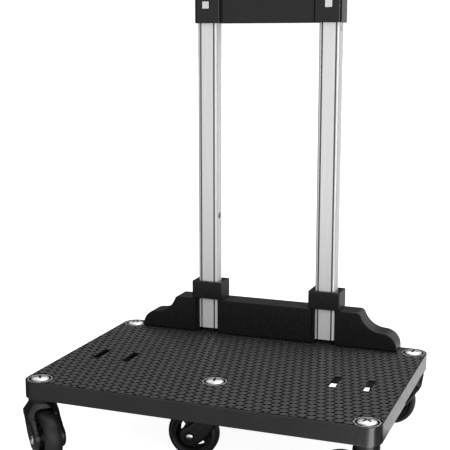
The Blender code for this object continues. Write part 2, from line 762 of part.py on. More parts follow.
def lever_outline():
    """The lever from the side, about its own axis: a barrel, and a hook down the deck's back."""
    barrel = arc((0, 0), BARREL_RADIUS, 90, 270, 8)
    front, back = HOOK_FRONT - LEVER_Y, HOOK_BACK - LEVER_Y
    foot = HOOK_FOOT - LEVER_Z
    return [*barrel, (front, -BARREL_RADIUS), (front, foot), (back, foot + 0.0010), (back, BARREL_RADIUS)]


def make_lever(fold, lever_axis):
    """A toe lever on the panel's back. Lifting its pad swings the hook away from the deck."""
    lever = outline_solid(
        "fold_release_lever", [lever_outline()], -BARREL_HALF, BARREL_HALF, "X", "black_plastic", lever_axis
    )
    pad_front = HOOK_FRONT - LEVER_Y + 0.001
    pad_back = HOOK_BACK - LEVER_Y + LEVER_PAD_REACH
    low, high = (-LEVER_PAD_HALF, pad_front, 0.0002), (LEVER_PAD_HALF, pad_back, 0.0045)
    join(lever, bevel(box("lever_pad", low, high, parent=lever_axis), 0.0012))
    end = BARREL_HALF + 0.002
    cut(lever, cylinders("lever_barrel_bore", LEVER_PIN + GAP, -end, end, [(0, 0)], "X", 12, lever_axis))
    end = LEVER_PIN_HALF
    spot = (LEVER_Y, LEVER_Z)
    cylinders("lever_pin", LEVER_PIN, -end, end, [spot], "X", 12, fold, "bright_steel")
    coil("lever_spring", 0.0031, 0.0006, 4, 0.0115, 0.0185, spot, "X", "bright_steel", fold)


# ---------------------------------------------------------------- telescopic handle


def make_inner_tubes(slide):
    for name, side in SIDES.items():
        x = side * TUBE_X
        outer = rounded_rect(INNER_WIDTH, INNER_DEPTH, INNER_CORNER, (x, TUBE_Y), 3)
        outlines = [outer, tube_bore(INNER_WIDTH, INNER_DEPTH, INNER_WALL, x)]
        tube = outline_solid(
            f"inner_tube_{name}", outlines, INNER_BOTTOM, INNER_TOP, "Z", "aluminium", slide
        )
        wall = x + INNER_WIDTH / 2
        spot = [(TUBE_Y, LOCK_PIN_Z)]
        window = cylinders(
            f"pin_window_{name}", LOCK_PIN + 0.0004, wall - PAST, wall + PAST, spot, "X", 16, slide
        )
        cut(tube, window)


def make_lock_pin(name, pin_axis):
    """A turned pin whose axis lies along X."""
    radius = LOCK_PIN
    pin = [(0.0, 0.0107), (0.0018, 0.0104), (radius, 0.0092), (radius, 0.0008), (0.0, 0.0008)]
    obj = turned(f"lock_pin_{name}", pin, "Z", 12, "bright_steel", pin_axis)
    obj.rotation_euler = (0.0, radians(90), 0.0)


def make_feet(slide, pin_axes):
    """A plastic foot in the end of each inner tube, with the lock pin that slides in it."""
    width = INNER_WIDTH - 2 * INNER_WALL - 2 * GAP
    depth = INNER_DEPTH - 2 * INNER_WALL - 2 * GAP
    for name, side in SIDES.items():
        x = side * TUBE_X
        plug = [rounded_rect(width, depth, 0.0010, (x, TUBE_Y), 1)]
        ends = INNER_BOTTOM - 0.003, LOCK_PIN_Z + 0.008
        foot = outline_solid(f"tube_foot_{name}", plug, *ends, "Z", "black_plastic", slide)
        rim = [rounded_rect(INNER_WIDTH, INNER_DEPTH, INNER_CORNER, (x, TUBE_Y), 2)]
        ends = INNER_BOTTOM - 0.0035, INNER_BOTTOM - GAP
        join(foot, outline_solid(f"foot_flange_{name}", rim, *ends, "Z", parent=slide))
        spot = [(TUBE_Y, LOCK_PIN_Z)]
        bore = cylinders(f"foot_bore_{name}", LOCK_PIN + GAP, x - 0.003, x + 0.015, spot, "X", 16, slide)
        cut(foot, bore)
        make_lock_pin(name, pin_axes[name])


def hollow_box(name, low_z, high_z, slide):
    """A tool for the hollow that the button's bar moves in."""
    x, y = HOLLOW_HALF
    return box(name, (-x, TUBE_Y - y, low_z), (x, TUBE_Y + y, high_z), parent=slide)


def make_grip(slide):
    """The grip in two shells that meet at a level seam, hollow inside for the button's bar."""
    plan = [rounded_rect(2 * GRIP_HALF, GRIP_DEPTH, 0.0165, (0, TUBE_Y), 5)]
    body = outline_solid("grip_body", plan, GRIP_BOTTOM, GRIP_SPLIT - GAP / 2, "Z", "grip_rubber", slide)
    bevel(body, 0.0045, 2, 60)
    cover = outline_solid("grip_cover", plan, GRIP_SPLIT + GAP / 2, GRIP_TOP, "Z", "grip_rubber", slide)
    bevel(cover, 0.0060, 2, 60)
    cut(body, hollow_box("grip_trough", GRIP_BOTTOM + GRIP_FLOOR, GRIP_SPLIT + 0.002, slide))
    width, depth = BUTTON_SIZE
    mouth = [rounded_rect(width + 2 * GAP, depth + 2 * GAP, 0.0060, (0, TUBE_Y))]
    mouth = outline_solid("button_mouth", mouth, GRIP_SPLIT, GRIP_TOP + PAST, "Z", parent=slide)
    cut(cover, hollow_box("grip_roof", GRIP_SPLIT - 0.002, HOLLOW_TOP, slide), mouth)
    ends = GRIP_BOTTOM - PAST, GRIP_SPLIT
    for name, side in SIDES.items():
        x = side * TUBE_X
        cut(body, tube_hole(f"grip_socket_{name}", x, INNER_WIDTH, INNER_DEPTH, INNER_CORNER, *ends, slide))


def make_button(slide, press):
    """The button, its bar across the grip, and a rod down each inner tube."""
    pad_plan = [rounded_rect(*BUTTON_SIZE, 0.0058, (0, TUBE_Y))]
    pad = outline_solid("grip_button", pad_plan, BAR_BOTTOM + 0.0001, BUTTON_TOP, "Z", "button_grey", press)
    bevel(pad, 0.0012, 2, 60)
    x, y = BAR_HALF
    join(pad, box("button_bar", (-x, TUBE_Y - y, BAR_BOTTOM), (x, TUBE_Y + y, BAR_TOP), parent=press))
    ends = LOCK_PIN_Z + 0.014, BAR_BOTTOM - GAP
    for name, side in SIDES.items():
        spot = [(side * TUBE_X, TUBE_Y)]
        cylinders(f"pull_rod_{name}", 0.0018, *ends, spot, "Z", 10, press, "bright_steel")
    ends = GRIP_BOTTOM + GRIP_FLOOR + 0.0010, BAR_BOTTOM - 0.0010
    coil("button_spring", 0.0036, 0.0006, 4, *ends, (0.0, TUBE_Y), "Z", "bright_steel", slide)


# ---------------------------------------------------------------- assembly


def make_handle():
    fold_hinge = frame_empty("fold_hinge_axis", (0.0, FOLD_Y, FOLD_Z))
    fold = frame_empty("fold_axis", (0.0, -FOLD_Y, -FOLD_Z), parent=fold_hinge)
    lever_axis = frame_empty("lever_axis", (0.0, LEVER_Y, LEVER_Z), parent=fold)
    slide = frame_empty("telescope_axis", (0.0, 0.0, 0.0), parent=fold)
    press = frame_empty("button_axis", (0.0, 0.0, 0.0), parent=slide)
    pin_axes = {
        name: frame_empty(f"lock_pin_axis_{name}", (side * TUBE_X, TUBE_Y, LOCK_PIN_Z), parent=slide)
        for name, side in SIDES.items()
    }
    make_panel(fold)
    make_outer_tubes(fold)
    make_collars(fold)
    make_bracket(fold)
    make_lever(fold, lever_axis)
    make_inner_tubes(slide)
    make_feet(slide, pin_axes)
    make_grip(slide)
    make_button(slide, press)


make_deck()
make_casters()
make_hinge_brackets()
make_handle()
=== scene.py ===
"""Looks of the folding platform cart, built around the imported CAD. Metres, +Z up, floor at z = 0."""

from math import asin, cos, degrees, pi, radians, sin

import bmesh
import bpy
from mathutils import Matrix, Vector


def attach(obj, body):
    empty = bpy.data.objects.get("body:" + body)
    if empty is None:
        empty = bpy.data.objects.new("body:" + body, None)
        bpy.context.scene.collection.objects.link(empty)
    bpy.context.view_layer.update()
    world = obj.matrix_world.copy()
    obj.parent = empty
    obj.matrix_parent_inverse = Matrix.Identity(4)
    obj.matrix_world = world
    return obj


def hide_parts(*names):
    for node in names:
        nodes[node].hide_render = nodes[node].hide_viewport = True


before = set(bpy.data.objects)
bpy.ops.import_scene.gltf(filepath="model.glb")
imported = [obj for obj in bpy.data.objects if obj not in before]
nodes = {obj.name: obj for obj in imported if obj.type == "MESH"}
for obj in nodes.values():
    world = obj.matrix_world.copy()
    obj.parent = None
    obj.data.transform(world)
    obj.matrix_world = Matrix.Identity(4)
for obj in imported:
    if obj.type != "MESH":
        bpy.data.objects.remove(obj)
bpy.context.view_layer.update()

# -------------------------------- sizes, most of them the CAD's own

# GAP is the clearance between fitted pieces, and PAST is how far a cutter goes beyond what it cuts
GAP, PAST = 0.0003, 0.004
DECK_WIDTH, DECK_DEPTH, DECK_HEIGHT, DECK_TOP = 0.400, 0.274, 0.020, 0.090
DECK_BOTTOM = DECK_TOP - DECK_HEIGHT
CORNER_RADIUS = 0.016
PLATE, SKIRT, RIB = 0.0028, 0.0032, 0.0024
RIB_XS = (-0.175, -0.142, -0.100, -0.035, 0.035, 0.100, 0.142, 0.175)
RIB_YS = (-0.095, -0.050, 0.034, 0.085)
SLOT_XS = (-0.162, -0.1237, 0.1237, 0.162)
SLOT_WIDTH, SLOT_FRONT, SLOT_BACK = 0.0085, -0.0341, 0.0012
RECESS_RADIUS, RECESS_DEPTH, BOSS_RADIUS = 0.015, 0.0025, 0.0159
RELIEF_FRONT, RELIEF_BACK, RELIEF_HEIGHT, RELIEF_DEPTH = -0.008, 0.112, 0.0024, 0.0045

WHEEL_RADIUS, TRAIL, AXLE_BELOW = 0.029, 0.024, 0.041
CUP_RADIUS, CUP_HEIGHT, CROWN_BOTTOM = 0.0135, 0.0045, 0.011
LEG_INNER, LEG_OUTER, LEG_BOSS, BELL_HALF = 0.0116, 0.0180, 0.012, (0.0125, 0.0186)
BOLT_SEAT = DECK_TOP - RECESS_DEPTH + GAP
TYRE_HALF, RIM_RADIUS, AXLE_RADIUS, BOLT_RADIUS, BOLT_BORE = 0.0095, 0.0215, 0.0028, 0.004, 0.0045
LEG_GROOVE, RIVET_SEAT, RIVET_RADIUS = 0.0016, 0.0062, 0.0050
CASTERS = {
    "front_left": (-0.184, -0.121, -43),
    "front_right": (0.184, -0.121, 188),
    "rear_left": (-0.184, 0.121, 20),
    "rear_right": (0.184, 0.121, -172),
    "middle": (0.0, -0.061, 184),
}
CASTER_SPOTS = [(x, y) for x, y, _ in CASTERS.values()]

FOLD_Y, FOLD_Z = 0.1155, 0.1022
PANEL_FRONT, PANEL_BACK = 0.1082, 0.136
PANEL_BOTTOM, PANEL_TOP = DECK_TOP + 0.0005, DECK_TOP + 0.0453
TUBE_X, TUBE_Y, TUBE_WIDTH, TUBE_DEPTH, TUBE_WALL = 0.0763, 0.1189, 0.025, 0.0176, 0.0014
TUBE_CORNER, GROOVE_INSET, GROOVE_HALF, GROOVE_DEPTH, LOCK_HOLE = 0.0027, 0.0040, 0.0010, 0.0009, 0.0042
TUBE_BOTTOM = DECK_TOP + 0.007
COLLAR_BOTTOM, COLLAR_TOP = PANEL_TOP + 0.0004, DECK_TOP + 0.068
COLLAR_FRONT, COLLAR_BACK, COLLAR_WIDTH = 0.105, 0.136, 0.0394
MOUTH_HALF, MOUTH_BACK = 0.0162, 0.1112
BRACKET_HALF, BRACKET_BOTTOM, BRACKET_TOP = 0.0913, DECK_TOP + 0.388, DECK_TOP + 0.430
WEB_HALF, WEB_INSET = 0.0580, 0.0060
PLUG_Z, PLUG_HALF, PLUG_DEPTH = DECK_TOP + 0.4094, 0.0043, 0.002
TUBE_TOP = BRACKET_TOP - 0.008
OUTER_TUBE, INNER_TUBE = (TUBE_WIDTH, TUBE_DEPTH, TUBE_CORNER), (0.0212, 0.0138, 0.0022)
LOCK_HOLE_Z = {"left": DECK_TOP + 0.151, "right": DECK_TOP + 0.381}
GRIP_BOTTOM, GRIP_SPLIT, GRIP_TOP = DECK_TOP + 0.777, DECK_TOP + 0.795, DECK_TOP + 0.812
GRIP_HALF, GRIP_DEPTH, GRIP_FLOOR = 0.0985, 0.034, 0.0055
HOLLOW_HALF, HOLLOW_TOP = (0.088, 0.0085), GRIP_SPLIT + 0.0080
BUTTON_SIZE, BUTTON_TOP = (0.0400, 0.0120), GRIP_TOP + 0.0042
BAR_HALF, BAR_BOTTOM, BAR_TOP = (0.0840, 0.0050), DECK_TOP + 0.7961, DECK_TOP + 0.8002
HINGE_X, HINGE_WIDTH, HINGE_PIN_RADIUS, HINGE_PIN_HALF = 0.112, 0.012, 0.0022, 0.0115
KNUCKLE_RADIUS, ARM_HALF = 0.0055, 0.0032
LEVER_Y, LEVER_Z, LEVER_PIN_HALF = 0.131, 0.106, 0.026
LEVER_POCKET = ((-0.021, 0.1235, 0.0955), (0.021, PANEL_BACK + PAST, 0.1165))
SIDES = {"left": -1, "right": 1}

# The deck's moulded grip pattern: close-set pads, with a raised lip round a pit where three meet
PAD_PITCH, PAD_TURN = 0.0106, -15
PAD_DROPS = {0: 0.00010, 1 / 3: 0.00024, 1 / 2: 0.00028, 2 / 3: 0.00024}
PIT_LIP, PIT_FLOOR = (0.00250, 0.0), (0.00210, 0.00120)
TRAY_INSET, TRAY_DEPTH = (0.0008, 0.0012), 0.0014
GRIP_INSET = (0.0013, 0.0034)

# The ring in a bolt's recess with its bars, the driver's cross in a head, and how the crosses stand
RING_HEIGHT, RING_BARS, FIRST_BAR = 0.0019, 10, 12
RING_BAR = (0.0022, 0.0010)
CROSS_LENGTH, CROSS_WIDTH = 0.0126, 0.0024
FIRST_CROSS, CROSS_STEP = 35, 17

# The wheel's windows: how many, where the first is in degrees, and each edge's radius and half angle
WINDOWS, FIRST_WINDOW = 5, 23
WINDOW_INNER, WINDOW_OUTER = (0.0124, 20), (0.0169, 22)


# -------------------------------- shapes


def arc(centre, radius, start, end, steps):
    angles = [radians(start + (end - start) * k / steps) for k in range(steps + 1)]
    return [(centre[0] + radius * cos(a), centre[1] + radius * sin(a)) for a in angles]


def rounded_rect(width, depth, radius, centre=(0.0, 0.0), steps=6):
    x, y = width / 2 - radius, depth / 2 - radius
    points = []
    for u, v, start in ((x, y, 0), (-x, y, 90), (-x, -y, 180), (x, -y, 270)):
        points += arc((centre[0] + u, centre[1] + v), radius, start, start + 90, steps)
    return points


def area_of(points):
    return sum(a[0] * b[1] - b[0] * a[1] for a, b in zip(points, points[1:] + points[:1])) / 2


def inset(points, distance):
    """A counter-clockwise outline moved inwards by distance."""
    moved = []
    count = len(points)
    for k in range(count):
        here = Vector(points[k])
        before = (here - Vector(points[k - 1])).normalized()
        after = (Vector(points[(k + 1) % count]) - here).normalized()
        normal = Vector((-before.y - after.y, before.x + after.x))
        if normal.length < 1e-6:
            normal = Vector((-before.y, before.x))
        normal.normalize()
        lean = max(0.35, normal.dot(Vector((-before.y, before.x))))
        moved.append(tuple(here + normal * (distance / lean)))
    return moved


PLANE_AXES = {
    "X": Matrix(((0, 0, 1, 0), (1, 0, 0, 0), (0, 1, 0, 0), (0, 0, 0, 1))),
    "Y": Matrix(((1, 0, 0, 0), (0, 0, -1, 0), (0, 1, 0, 0), (0, 0, 0, 1))),
    "Z": Matrix.Identity(4),
}


def mesh_from(bm, name):
    bmesh.ops.remove_doubles(bm, verts=bm.verts, dist=1e-7)
    bmesh.ops.recalc_face_normals(bm, faces=bm.faces)
    mesh = bpy.data.meshes.new(name)
    bm.to_mesh(mesh)
    bm.free()
    return mesh


def loft(rings, closed=False):
    """A bmesh skinned over rings of points, capped at both ends unless the rings close on themselves."""
    bm = bmesh.new()
    made = [[bm.verts.new(p) for p in ring] for ring in rings]
    pairs = list(zip(made, made[1:]))
    if closed:
        pairs.append((made[-1], made[0]))
    for lower, upper in pairs:
        for k in range(len(lower)):
            after = (k + 1) % len(lower)
            bm.faces.new((lower[k], lower[after], upper[after], upper[k]))
    if not closed:
        bm.faces.new(list(reversed(made[0])))
        bm.faces.new(made[-1])
    return bm


def prism(name, outline, low, high, axis="Z", edge=0.0, steps=3, low_edge=None):
    """An outline extruded from low to high along axis, with rounded edges at both ends."""
    if area_of(outline) < 0:
        outline = list(reversed(outline))
    low_edge = edge if low_edge is None else low_edge
    if axis == "Y":
        low, high = -high, -low
        edge, low_edge = low_edge, edge
    levels = []
    for k in range(steps + 1 if low_edge else 1):
        angle = pi / 2 * k / steps
        levels.append((low_edge * (1 - sin(angle)), low + low_edge * (1 - cos(angle))))
    for k in range(steps + 1 if edge else 1):
        angle = pi / 2 * (1 - k / steps)
        levels.append((edge * (1 - sin(angle)), high - edge * (1 - cos(angle))))
    rings = [[(u, v, level) for u, v in (inset(outline, d) if d else outline)] for d, level in levels]
    bm = loft(rings)
    bmesh.ops.transform(bm, matrix=PLANE_AXES[axis], verts=bm.verts)
    return mesh_from(bm, name)


def brick(name, low, high):
    (x0, y0, z0), (x1, y1, z1) = low, high
    return prism(name, [(x0, y0), (x1, y0), (x1, y1), (x0, y1)], z0, z1)


def disc(name, radius, low, high, spot=(0.0, 0.0), axis="Z", sides=48):
    return prism(name, arc(spot, radius, 0, 360 - 360 / sides, sides - 1), low, high, axis)


def stem_discs(name, radius, low, high, sides=48):
    """A disc at each caster's stem."""
    return [disc(name, radius, low, high, spot, sides=sides) for spot in CASTER_SPOTS]


def mirrored(half):
    """A (radius, height) profile that goes on with its own mirror image below the middle."""
    return half + [(radius, -height) for radius, height in reversed(half)]


def turned(name, profile, axis="Z", steps=48, closed=False):
    """A (radius, height) profile turned about an axis through the origin."""
    rings = []
    for k in range(steps):
        turn = 2 * pi * k / steps
        rings.append([(r * cos(turn), r * sin(turn), h) for r, h in profile])
    bm = bmesh.new()
    rows = [[bm.verts.new(p) for p in ring] for ring in rings]
    last = len(profile) if closed else len(profile) - 1
    for k in range(steps):
        one, two = rows[k], rows[(k + 1) % steps]
        for j in range(last):
            after = (j + 1) % len(profile)
            bm.faces.new((one[j], one[after], two[after], two[j]))
    bmesh.ops.remove_doubles(bm, verts=bm.verts, dist=1e-7)
    if axis == "Y":
        bmesh.ops.transform(bm, matrix=Matrix.Rotation(pi / 2, 4, "X"), verts=bm.verts)
    return mesh_from(bm, name)


def helper(mesh):
    obj = bpy.data.objects.new(mesh.name, mesh)
    bpy.context.scene.collection.objects.link(obj)
    return obj


def combined(mesh, cuts=(), joins=()):
    """The mesh with others joined to it and cut from it, as one new mesh."""
    target = helper(mesh)
    tools = []
    for operation, others in (("UNION", joins), ("DIFFERENCE", cuts)):
        for other in others:
            tool = helper(other)
            tools.append(tool)
            boolean = target.modifiers.new(operation, "BOOLEAN")
            boolean.operation = operation
            boolean.solver = "MANIFOLD"
            boolean.object = tool
    bpy.context.view_layer.update()
    graph = bpy.context.evaluated_depsgraph_get()
    made = bpy.data.meshes.new_from_object(target.evaluated_get(graph))
    made.name = mesh.name
    for obj in [target, *tools]:
        bpy.data.objects.remove(obj)
    return made


def piece(name, mesh, material, body, replaced=None, *, place=None, smooth=40):
    """A finished piece: shaded smooth up to an angle, given its material, and riding on its body."""
    obj = bpy.data.objects.new(name, mesh)
    bpy.context.scene.collection.objects.link(obj)
    if place is not None:
        obj.matrix_world = place
    mesh.materials.clear()
    mesh.materials.append(material)
    for face in mesh.polygons:
        face.use_smooth = True
    mesh.set_sharp_from_angle(angle=radians(smooth))
    weighted = obj.modifiers.new("Weighted normals", "WEIGHTED_NORMAL")
    weighted.keep_sharp = True
    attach(obj, body)
    if replaced:
        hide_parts(replaced)


# -------------------------------- materials


class Nodes:
    """Short calls for the nodes of a tree, all of which read one texture coordinate."""

    def __init__(self, tree, coordinate):
        self.tree = tree
        self.place = tree.nodes.new("ShaderNodeTexCoord").outputs[coordinate]

    def link(self, source, target):
        self.tree.links.new(source, target)

    def node(self, kind, inputs, output=0, **settings):
        """One output of a new node, whose inputs are each linked to an output or given a value."""
        node = self.tree.nodes.new(kind)
        for key, value in settings.items():
            setattr(node, key, value)
        for key, value in inputs.items():
            if hasattr(value, "node"):
                self.link(value, node.inputs[key])
            else:
                node.inputs[key].default_value = value
        return node.outputs[output]

    def axis(self, name):
        return self.node("ShaderNodeSeparateXYZ", {0: self.place}, name)

    def length(self, vector):
        return self.node("ShaderNodeVectorMath", {0: vector}, "Value", operation="LENGTH")

    def scaled(self, scale):
        return self.node("ShaderNodeMapping", {"Scale": scale, "Vector": self.place})

    def noise(self, scale, detail, roughness, stretch=(1, 1, 1)):
        inputs = {"Scale": scale, "Detail": detail, "Roughness": roughness}
        return self.node("ShaderNodeTexNoise", {**inputs, "Vector": self.scaled(stretch)}, "Fac")

    def math(self, operation, a, b=0.0, clamp=False):
        return self.node("ShaderNodeMath", {0: a, 1: b}, operation=operation, use_clamp=clamp)

    def spread(self, value, from_low, from_high, to_low=0.0, to_high=1.0):
        """The value's place between two limits, clamped, and spread between two others."""
        inputs = {"Value": value, "From Min": from_low, "From Max": from_high}
        return self.node("ShaderNodeMapRange", {**inputs, "To Min": to_low, "To Max": to_high})

    def blend(self, factor, one, two):
        """One colour where the factor is 0, the other where it is 1."""
        one, two = [value if hasattr(value, "node") else (*value, 1.0) for value in (one, two)]
        return self.node("ShaderNodeMix", {"Factor": factor, 6: one, 7: two}, 2, data_type="RGBA")


class Surface(Nodes):
    """A new material, with fixed values for some of its shader's inputs, and calls for others."""

    def __init__(self, name, fixed):
        self.material = bpy.data.materials.new(name)
        self.material.use_nodes = True
        super().__init__(self.material.node_tree, "Object")
        self.shader = self.tree.nodes["Principled BSDF"]
        for key, value in fixed.items():
            self.shader.inputs[key].default_value = value

    def edges(self):
        """Near 1 on convex edges, near 0 elsewhere."""
        return self.spread(self.node("ShaderNodeNewGeometry", {}, "Pointiness"), 0.52, 0.60)

    def colour(self, value):
        self.link(value, self.shader.inputs["Base Color"])

    def roughness(self, value):
        self.link(value, self.shader.inputs["Roughness"])

    def bump(self, height, distance, strength):
        normal = self.node("ShaderNodeBump", {"Strength": strength, "Distance": distance, "Height": height})
        self.link(normal, self.shader.inputs["Normal"])


def tinted(colour, factor):
    return tuple(c * factor for c in colour)


def moulded(name, colour, rough, level):
    """Moulded plastic: a fine spark-eroded grain, slow changes of tone, and polished edges that are painted
    lighter, partly wear and partly a painted highlight.
    """
    made = Surface(name, {"Specular IOR Level": level})
    cloud = made.noise(34, 4, 0.6)
    tone = made.blend(made.spread(cloud, 0.3, 0.7), tinted(colour, 0.86), tinted(colour, 1.16))
    specks = made.spread(made.noise(900, 2, 0.5), 0.60, 0.74, 0.0, 0.35)
    tone = made.blend(specks, tone, tinted(colour, 1.9))
    # Convex edges are painted lighter: partly wear, partly a painted highlight along them.
    made.colour(made.blend(made.math("MULTIPLY", made.edges(), 0.35), tone, tinted(colour, 2.4)))
    base = made.spread(made.noise(120, 3, 0.6), 0.3, 0.7, rough - 0.05, rough + 0.06)
    made.roughness(made.math("SUBTRACT", base, made.math("MULTIPLY", made.edges(), 0.10), True))
    made.bump(made.noise(2600, 2, 0.5), 0.00003, 0.6)
    return made.material


def anodised(name, colour, rough, groove_x=None):
    """Drawn aluminium: fine lines along the tube, and painted shade in the front grooves about groove_x."""
    made = Surface(name, {"Metallic": 0.25})
    lines = made.noise(2600, 3, 0.65, (1, 1, 0.004))
    cloud = made.noise(9, 3, 0.5)
    tone = made.blend(made.spread(lines, 0.3, 0.7), tinted(colour, 0.95), tinted(colour, 1.03))
    tone = made.blend(made.spread(cloud, 0.35, 0.65, 0.0, 0.5), tone, tinted(colour, 0.96))
    if groove_x is not None:
        # Painted shade: the front grooves are painted near black, standing in for the shade inside them.
        aside = made.math("ABSOLUTE", made.math("SUBTRACT", made.axis("X"), groove_x))
        off = made.math("ABSOLUTE", made.math("SUBTRACT", aside, TUBE_WIDTH / 2 - GROOVE_INSET))
        painted_shade = made.spread(off, GROOVE_HALF - 0.0001, GROOVE_HALF + 0.0001, 1.0, 0.0)
        front = made.spread(made.axis("Y"), TUBE_Y - 0.0070, TUBE_Y - 0.0060, 0.92, 0.0)
        tone = made.blend(made.math("MULTIPLY", painted_shade, front), tone, tinted(colour, 0.05))
    made.colour(tone)
    made.roughness(made.spread(lines, 0.3, 0.7, rough - 0.05, rough + 0.07))
    made.bump(lines, 0.00001, 0.35)
    return made.material


def plated(name, colour, rough):
    """Zinc-plated steel: bright, with faint blotches and short scratches."""
    made = Surface(name, {"Metallic": 1.0})
    blotch = made.noise(420, 4, 0.6)
    marks = made.noise(3200, 2, 0.7, (1, 0.08, 1))
    made.colour(made.blend(made.spread(blotch, 0.35, 0.65), tinted(colour, 0.84), tinted(colour, 1.05)))
    made.roughness(made.spread(blotch, 0.3, 0.7, rough - 0.04, rough + 0.08))
    made.bump(marks, 0.00001, 0.5)
    return made.material


def bolt_head(name, colour, rough):
    """Plated steel with painted shade in the driver's recess and round the head's edge."""
    made = Surface(name, {"Metallic": 1.0})
    height = made.axis("Z")
    square = [made.math("POWER", made.axis(letter), 2.0) for letter in "XY"]
    # Painted shade: the cross recess and the low edge of the head, where it meets the deck, are painted
    # near black.
    inner = made.spread(made.math("SQRT", made.math("ADD", *square)), 0.0066, 0.0070, 1.0, 0.0)
    sunk = made.spread(height, BOLT_SEAT + 0.0030, BOLT_SEAT + 0.0034, 1.0, 0.0)
    recess = made.math("MULTIPLY", inner, sunk)
    rim = made.spread(height, BOLT_SEAT + 0.0013, BOLT_SEAT + 0.0019, 1.0, 0.0)
    above = made.spread(height, BOLT_SEAT - 0.0020, BOLT_SEAT - 0.0010)
    painted_shade = made.math("MAXIMUM", recess, made.math("MULTIPLY", rim, above))
    blotch = made.noise(420, 4, 0.6)
    unshaded_tone = made.blend(made.spread(blotch, 0.35, 0.65), tinted(colour, 0.86), tinted(colour, 1.04))
    made.colour(made.blend(painted_shade, unshaded_tone, tinted(colour, 0.03)))
    made.roughness(made.spread(blotch, 0.3, 0.7, rough - 0.04, rough + 0.08))
    made.bump(made.noise(3200, 2, 0.7, (1, 0.08, 1)), 0.00001, 0.5)
    return made.material


def recess_ring(name, colour, rough):
    """The bolt recess's moulded ring: a patchy painted highlight on top, and painted shade down its sides.
    """
    made = Surface(name, {})
    floor = DECK_TOP - RECESS_DEPTH
    top = made.spread(made.axis("Z"), floor + 0.0015, floor + RING_HEIGHT)
    highlight_patches = made.spread(made.noise(500, 3, 0.6), 0.3, 0.7, 0.5, 1.0)
    # Painted light: the ring's top is painted in its light grey as a highlight, and its sides near black as
    # shade.
    made.colour(made.blend(made.math("MULTIPLY", top, highlight_patches), tinted(colour, 0.02), colour))
    made.roughness(made.spread(made.noise(300, 3, 0.6), 0.3, 0.7, rough - 0.05, rough + 0.08))
    made.bump(made.noise(2400, 2, 0.5), 0.00003, 0.5)
    return made.material


def rubbery(name, colour, rough):
    """Rubber: a soft bloom, darker where it has rubbed, and a very fine texture."""
    made = Surface(name, {"Specular IOR Level": 0.4})
    bloom = made.noise(60, 5, 0.6)
    fine = made.noise(1900, 3, 0.6)
    tone = made.blend(made.spread(bloom, 0.35, 0.65), tinted(colour, 0.80), tinted(colour, 1.25))
    made.colour(made.blend(made.spread(fine, 0.62, 0.78, 0.0, 0.4), tone, tinted(colour, 2.2)))
    made.roughness(made.spread(bloom, 0.3, 0.7, rough - 0.07, rough + 0.07))
    made.bump(fine, 0.00004, 0.5)
    return made.material


def grip_pattern(name, colour, rough, level):
    """The deck's patterned top: painted shade makes the pits black, and a patchy painted highlight makes
    the lips and pads lighter.
    """
    made = Surface(name, {"Specular IOR Level": level})
    height = made.axis("Z")
    cloud = made.noise(26, 4, 0.6)
    valley = made.blend(made.spread(cloud, 0.3, 0.7), tinted(colour, 0.30), tinted(colour, 0.52))
    # Painted highlight: the highest parts of the pads and lips are painted three times lighter, in patches.
    lit_top = made.spread(height, DECK_TOP - 0.00020, DECK_TOP - 0.00002)
    highlight_patches = made.spread(made.noise(700, 3, 0.6), 0.30, 0.70, 0.55, 1.15)
    pad = made.blend(made.math("MULTIPLY", lit_top, highlight_patches, True), valley, tinted(colour, 3.0))
    # Painted shade: below the lips the pits are painted near black.
    depth = made.spread(height, DECK_TOP - 0.00045, DECK_TOP - 0.00030)
    made.colour(made.blend(depth, tinted(colour, 0.02), pad))
    made.roughness(made.spread(made.noise(300, 3, 0.6), 0.3, 0.7, rough - 0.06, rough + 0.08))
    made.bump(made.noise(2400, 2, 0.5), 0.00003, 0.5)
    return made.material


DECK_PLASTIC = moulded("deck plastic", (0.013, 0.013, 0.014), 0.24, 0.50)
DECK_PATTERN = grip_pattern("deck grip pattern", (0.038, 0.038, 0.040), 0.40, 0.15)
# The ring's light grey is a painted highlight for its top; recess_ring paints its sides in shade.
RING_PLASTIC = recess_ring("bolt ring plastic", (0.60, 0.60, 0.61), 0.45)
PANEL_PLASTIC = moulded("panel plastic", (0.006, 0.006, 0.0065), 0.36, 0.35)
FITTING_PLASTIC = moulded("fitting plastic", (0.007, 0.007, 0.008), 0.26, 0.40)
CASTER_PLASTIC = moulded("caster plastic", (0.008, 0.008, 0.0085), 0.34, 0.50)
BUTTON_PLASTIC = moulded("button plastic", (0.20, 0.20, 0.21), 0.40, 0.50)
TYRE_RUBBER = rubbery("tyre rubber", (0.014, 0.014, 0.015), 0.46)
GRIP_RUBBER = rubbery("grip rubber", (0.020, 0.020, 0.021), 0.62)
ALUMINIUM = anodised("anodised aluminium", (0.86, 0.86, 0.87), 0.22)
TUBE_ALUMINIUM = {
    name: anodised(f"grooved aluminium {name}", (0.86, 0.86, 0.87), 0.22, side * TUBE_X)
    for name, side in SIDES.items()
}
BRIGHT_STEEL = plated("plated steel", (0.82, 0.82, 0.83), 0.20)
DARK_STEEL = plated("dark steel", (0.10, 0.10, 0.105), 0.38)
BOLT_STEEL = bolt_head("bolt steel", (0.90, 0.90, 0.90), 0.36)
SQUARE_PLUG = plated("plug plate", (0.90, 0.90, 0.90), 0.32)


# -------------------------------- deck


def pocket_spans():
    inner_x, inner_y = DECK_WIDTH / 2 - SKIRT, DECK_DEPTH / 2 - SKIRT
    columns = [-inner_x, *[x + s * RIB / 2 for x in RIB_XS for s in (-1, 1)], inner_x]
    rows = [-inner_y, *[y + s * RIB / 2 for y in RIB_YS for s in (-1, 1)], inner_y]
    x_spans, y_spans = list(zip(columns[::2], columns[1::2])), list(zip(rows[::2], rows[1::2]))
    return [(x_span, y_span) for x_span in x_spans for y_span in y_spans]


